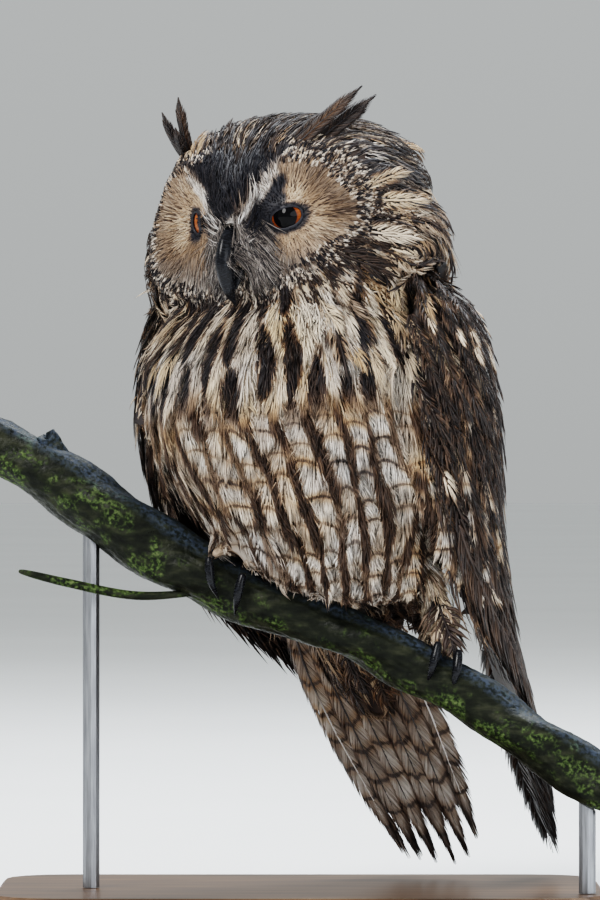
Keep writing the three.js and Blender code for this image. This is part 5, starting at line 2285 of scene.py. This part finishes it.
@dataclass(frozen=True)
class Plumage:
    """The finish of skin and feathers: two colour ramps that the marks on each point choose from."""

    name: str
    roughness: float = 0.5
    specular: float = 0.4
    mottle: float = 0
    cool: tuple = (
        (0, 0.012, 0.013, 0.019), (0.3, 0.062, 0.055, 0.056),
        (0.6, 0.27, 0.24, 0.22), (1, 0.74, 0.72, 0.71),
    )
    warm: tuple = (
        (0, 0.018, 0.012, 0.010), (0.3, 0.105, 0.054, 0.027),
        (0.6, 0.37, 0.21, 0.095), (1, 0.74, 0.57, 0.36),
    )

    def build(self) -> Material:
        """Makes the material.

        Returns:
            The material.
        """
        mix = Mixture(self.name, self.roughness, self.specular)
        noise = mix.sum("SUBTRACT", mix.noise(2.2), 0.5)
        tone = mix.sum("ADD", mix.mark("tone"), mix.times(noise, 0.16))
        off = mix.sum("SUBTRACT", mix.sum("FRACT", mix.mark("bars")), 0.5)
        off = mix.sum("ADD", mix.sum("ABSOLUTE", off), mix.times(noise, 0.2))
        bar = mix.times(mix.ramp(off, (0.40, 0), (0.47, 1)), mix.mark("barring"))
        patch = mix.times(mix.ramp(off, (0.18, 1), (0.36, 0)), mix.mark("barring"))
        tone = mix.sum("ADD", tone, mix.times(patch, 0.13))
        tone = mix.times(tone, mix.sum("SUBTRACT", 1, mix.times(bar, 0.72)))
        if self.mottle:
            spots = mix.ramp(mix.noise(4, 2, (1, 1, 0.7)), (0.55, 0), (0.66, 1))
            tone = mix.sum("ADD", tone, mix.times(spots, self.mottle))
        warmth = mix.times(mix.mark("warm"), mix.sum("SUBTRACT", 1, mix.times(patch, 0.7)))
        return mix.coloured(mix.blend(warmth, mix.ramp(tone, *self.cool), mix.ramp(tone, *self.warm)))


@dataclass(frozen=True)
class EyeFinish:
    """The wet gloss of an orange iris round a black pupil."""

    pupil: float = 4.8
    iris: float = 7.2

    def build(self) -> Material:
        """Makes the material.

        Returns:
            The material.
        """
        mix = Mixture("eye", 0.04, 0.14)
        reach = mix.sum("DIVIDE", mix.mark("reach"), FACE.eye_radius)
        wide, high = (mix.sum("DIVIDE", mix.mark(name), mix.mark("reach")) for name in ("wide", "high"))
        node = mix.node("CombineXYZ")
        mix.put(wide, node.inputs[0])
        mix.put(high, node.inputs[1])
        rays = mix.node("TexNoise")
        rays.inputs["Scale"].default_value = 9
        mix.put(node.outputs[0], rays.inputs["Vector"])
        inner, outer = self.pupil / FACE.eye_radius, self.iris / FACE.eye_radius
        body = mix.ramp(
            reach,
            (0, 0.003, 0.003, 0.004), (inner - 0.012, 0.003, 0.003, 0.004),
            (inner + 0.012, 0.20, 0.046, 0.008), ((inner + outer) / 2, 0.36, 0.10, 0.014),
            (outer - 0.03, 0.24, 0.055, 0.007), (outer + 0.01, 0.012, 0.008, 0.006), (1, 0.03, 0.02, 0.016),
        )
        shade = mix.ramp(rays.outputs["Fac"], (0.3, 0.62, 0.55, 0.5), (0.7, 1))
        return mix.coloured(mix.blend(0.8, body, shade, "MULTIPLY"))


@dataclass(frozen=True)
class GrainFinish:
    """A plain finish with one grain, which colours and roughens the surface."""

    name: str
    roughness: float
    specular: float
    grain: tuple
    colours: tuple
    bump: tuple[float, float]
    shine: float = 0
    metal: float = 0

    def build(self) -> Material:
        """Makes the material.

        Returns:
            The material.
        """
        mix = Mixture(self.name, self.roughness, self.specular)
        grain = mix.noise(*self.grain)
        colour = mix.ramp(grain, *self.colours)
        if self.shine:
            mix.put(mix.times(grain, self.shine), mix.surface["Roughness"])
        if self.metal:
            mix.surface["Metallic"].default_value = self.metal
        mix.bump(grain, *self.bump)
        return mix.coloured(colour)


HORN = GrainFinish(
    "horn", 0.22, 0.26, (1.6, 4, (1, 1, 3)),
    ((0.3, 0.004, 0.004, 0.005), (0.55, 0.008, 0.009, 0.012), (0.8, 0.020, 0.023, 0.030)),
    (0.25, 0.3), shine=0.5,
)
WOOD = GrainFinish(
    "stand_wood", 0.32, 0.5, (5, 6, (0.08, 1, 1)),
    ((0.3, 0.050, 0.026, 0.014), (0.5, 0.105, 0.056, 0.030), (0.7, 0.185, 0.105, 0.058)),
    (0.15, 0.2),
)
STEEL = GrainFinish(
    "rod_steel", 0.34, 0.5, (0.8, 3, (1, 1, 0.05)),
    ((0.3, 0.22, 0.225, 0.24), (0.7, 0.36, 0.37, 0.39)), (0.1, 0.1), metal=1,
)


@dataclass(frozen=True)
class BarkFinish:
    """Wet dark bark with green algae in patches, a painted blue-grey reflection of the sky along its top,
    and bare wood at the cut ends.
    """

    bare: tuple = ((0.25, 0.004, 0.005, 0.004), (0.5, 0.011, 0.013, 0.008), (0.75, 0.034, 0.036, 0.022))
    algae: tuple = ((0.3, 0.012, 0.020, 0.007), (0.55, 0.045, 0.070, 0.020), (0.75, 0.135, 0.165, 0.070))
    wood: tuple = ((0.3, 0.16, 0.10, 0.055), (0.7, 0.34, 0.24, 0.14))
    painted_sky_reflection: tuple = (0.055, 0.075, 0.11, 1)

    def build(self) -> Material:
        """Makes the material.

        Returns:
            The material.
        """
        mix = Mixture("bark", 0.5, 0.14)
        grain = mix.noise(3, 6, (0.35, 1, 1))
        fine = mix.noise(1.5, 6)
        bare, green = mix.ramp(grain, *self.bare), mix.ramp(fine, *self.algae)
        clumps = mix.ramp(fine, (0.44, 0), (0.56, 1))
        colour = mix.blend(mix.times(mix.mark("moss"), clumps), bare, green)
        # Painted reflection: where the bark faces up, patches of it are blended towards a blue-grey that
        # stands for the sky mirrored on the wet bark.
        shine = mix.ramp(mix.mark("top"), (0.45, 0), (0.75, 1), (0.97, 0.2))
        wet = mix.times(shine, mix.ramp(fine, (0.4, 0.1), (0.62, 0.75)))
        colour, wood = mix.blend(wet, colour, self.painted_sky_reflection), mix.ramp(fine, *self.wood)
        colour = mix.blend(mix.mark("cut"), colour, wood)
        mix.put(mix.times(fine, 0.95), mix.surface["Roughness"])
        mix.bump(mix.sum("ADD", grain, fine), 0.5, 0.6)
        return mix.coloured(colour)


@dataclass(frozen=True)
class Studio:
    """The plain pale floor, the soft lights and the camera."""

    distance: float = 2.626
    height: float = 0.1852
    lens: float = 260
    film: float = 36
    floor_size: float = 40
    backdrop: tuple = (0.60, 0.62, 0.62)
    haze: float = 0.91
    glow: float = 0.7
    lights: tuple = (
        ("key", (-1.1, -1.7, 2.1), 1.3, 62, (1, 0.985, 0.96)),
        ("fill", (1.7, -1.9, 0.9), 1.6, 17, (0.93, 0.96, 1)),
        ("top", (0.5, 0.9, 2), 1.4, 46, (0.90, 0.95, 1)),
    )

    def build(self) -> None:
        """Sets up the studio."""
        self.floor()
        for light in self.lights:
            self.light(*light)
        self.backdrop_light()
        view = bpy.context.scene.view_settings
        view.view_transform, view.look = "Filmic", "High Contrast"
        data = bpy.data.cameras.new("camera")
        data.lens, data.sensor_width = self.lens, self.film
        camera = bpy.data.objects.new("camera", data)
        camera.location = (0, -self.distance, self.height)
        camera.rotation_euler = (math.pi / 2, 0, 0)
        bpy.context.scene.collection.objects.link(camera)
        bpy.context.scene.camera = camera

    def backdrop_light(self) -> None:
        """Makes the world round the floor, a little darker at its foot."""
        world = bpy.data.worlds.new("studio")
        world.use_nodes = True
        bpy.context.scene.world = world
        nodes, links = world.node_tree.nodes, world.node_tree.links
        glow = nodes["Background"]
        way = nodes.new("ShaderNodeTexCoord")
        parts = nodes.new("ShaderNodeSeparateXYZ")
        ramp = nodes.new("ShaderNodeValToRGB")
        links.new(way.outputs["Generated"], parts.inputs[0])
        links.new(parts.outputs[2], ramp.inputs[0])
        links.new(ramp.outputs[0], glow.inputs[0])
        for mark, share, place in zip(ramp.color_ramp.elements, (self.haze, 1), (0, 0.09)):
            mark.position = place
            mark.color = (*(share * part for part in self.backdrop), 1)
        glow.inputs[1].default_value = self.glow

    def floor(self) -> None:
        """Lays the floor."""
        half = self.floor_size / 2 / MM
        points = np.array([[-half, -half, 0], [half, -half, 0], [half, half, 0], [-half, half, 0]], float)
        floor = make_mesh("floor", points, np.array([[0, 1, 2], [0, 2, 3]]))
        mix = Mixture("floor", 0.7, 0.2)
        colour = mix.ramp(mix.noise(400), (0.3, 0.86, 0.87, 0.87), (0.7, 0.89, 0.90, 0.90))
        floor.data.materials.append(mix.coloured(colour))

    def light(self, name: str, place: tuple, size: float, power: float, colour: tuple) -> None:
        """Hangs a large soft light that faces the owl.

        Args:
            name: its name.
            place: where it hangs.
            size: how wide it is.
            power: its power in watts.
            colour: its colour.
        """
        data = bpy.data.lights.new(name, "AREA")
        data.shape, data.size, data.energy, data.color = "DISK", size, power, colour
        lamp = bpy.data.objects.new(name, data)
        lamp.location = place
        way = Vector((0, 0, 0.2)) - Vector(place)
        lamp.rotation_euler = way.to_track_quat("-Z", "Y").to_euler()
        bpy.context.scene.collection.objects.link(lamp)


class Owl:
    """The whole bird: its skin, its coat and its bare parts."""

    flesh_nodes: tuple = (
        "head", "facial_disc", "neck", "trunk", "wing_left", "wing_right",
        "leg_left", "leg_right", "foot_left", "foot_right",
    )

    def __init__(self, nodes: Nodes) -> None:
        """Melts the flesh into one skin and gets the finishes ready.

        Args:
            nodes: the solid nodes by name.
        """
        self.skin = Skin(nodes)
        self.ground = Ground(self.skin)
        self.survey = Survey.of(self.skin)
        self.finishes = {
            "plumage": Plumage("plumage").build(),
            "face": Plumage("face", roughness=0.62, specular=0.25).build(),
            "flight_feathers": Plumage("flight_feathers", roughness=0.42, specular=0.45).build(),
            "wing": Plumage("wing_feathers", roughness=0.45, specular=0.4, mottle=0.22).build(),
            "eye": EyeFinish().build(),
            "horn": HORN.build(),
        }

    def dress(self, thing: Thing, slot: str, *nodes: str, finish: str = "") -> None:
        """Hands a piece over in the finish of its slot, or in another one."""
        hand_over(thing, self.finishes[finish or slot], slot, *nodes)

    def build(self) -> None:
        """Builds every piece of the bird."""
        skin = self.skin
        marks = dict(zip(MARKS, tinted(skin.points, skin.kind).T))
        self.dress(make_mesh("skin", skin.points, skin.triangles, marks), "plumage", *self.flesh_nodes)
        for patch in COAT:
            self.dress(patch.grow(self.ground, self.survey), patch.slot)
        self.front()
        self.face()
        for coverts, flights in (WingCoat(wing).build() for wing in WINGS):
            self.dress(coverts, "flight_feathers", finish="wing")
            self.dress(flights, "flight_feathers")
        self.dress(Tail().build(), "flight_feathers", "tail")
        for tuft in EAR_TUFTS:
            self.dress(tuft.build(), "flight_feathers", tuft.node)
        for claw, node in (pair for foot in FEET for pair in foot.build()):
            self.dress(claw, "horn", node)

    def front(self) -> None:
        """Builds the streaked breast and the barred belly."""
        plume = Plume(
            length=25, half_width=7.6, barbs=56, barb_width=0.58, rise=4.2, ragged=0.2, sweep=0.27,
            vary=0.12, shaft_spikes=4, shaft_width=0.7, loose=0.8,
        )
        spots = FRONT.spots(self.ground)
        high = spots.points[:, 2] > FRONT.parted
        for name, keep, seed in (("coat_breast", high, 22), ("coat_belly", ~high, 25)):
            locks = Locks(name)
            chosen = spots.chosen(keep)
            size = 0.62 + 0.38 * smooth(136, 168, chosen.points[:, 2])
            barb(locks, lay_down(self.ground, chosen, plume, seed, size), plume, fronted, seed + 1)
            self.dress(locks.build(), "plumage")

    def face(self) -> None:
        """Builds the face: its fine feathers, its bristles, the eyes and the bill."""
        coat = FaceCoat()
        self.dress(coat.hairs(self.ground), "face")
        self.dress(coat.bristle_fan(self.ground), "face")
        for eye in EYES:
            self.dress(eye.ball(), "eye", eye.name)
        for half, node in BILL.build():
            self.dress(half, "horn", node)


def stand(nodes: Nodes) -> None:
    """Gives the plain display stand its finishes."""
    for start, finish in (("stand_base", WOOD), ("stand_rod", STEEL)):
        material = finish.build()
        for name, node in nodes.items():
            for slot in node.material_slots if name.startswith(start) else ():
                slot.material = material


def main() -> None:
    """Builds the owl, its perch and the studio."""
    logging.basicConfig(level=logging.INFO, format="%(message)s")
    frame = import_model()
    nodes = frame["nodes"]
    Owl(nodes).build()
    hand_over(PERCH.build(), BarkFinish().build(), "bark", "perch")
    stand(nodes)
    Studio().build()


if __name__ == "__main__":
    main()
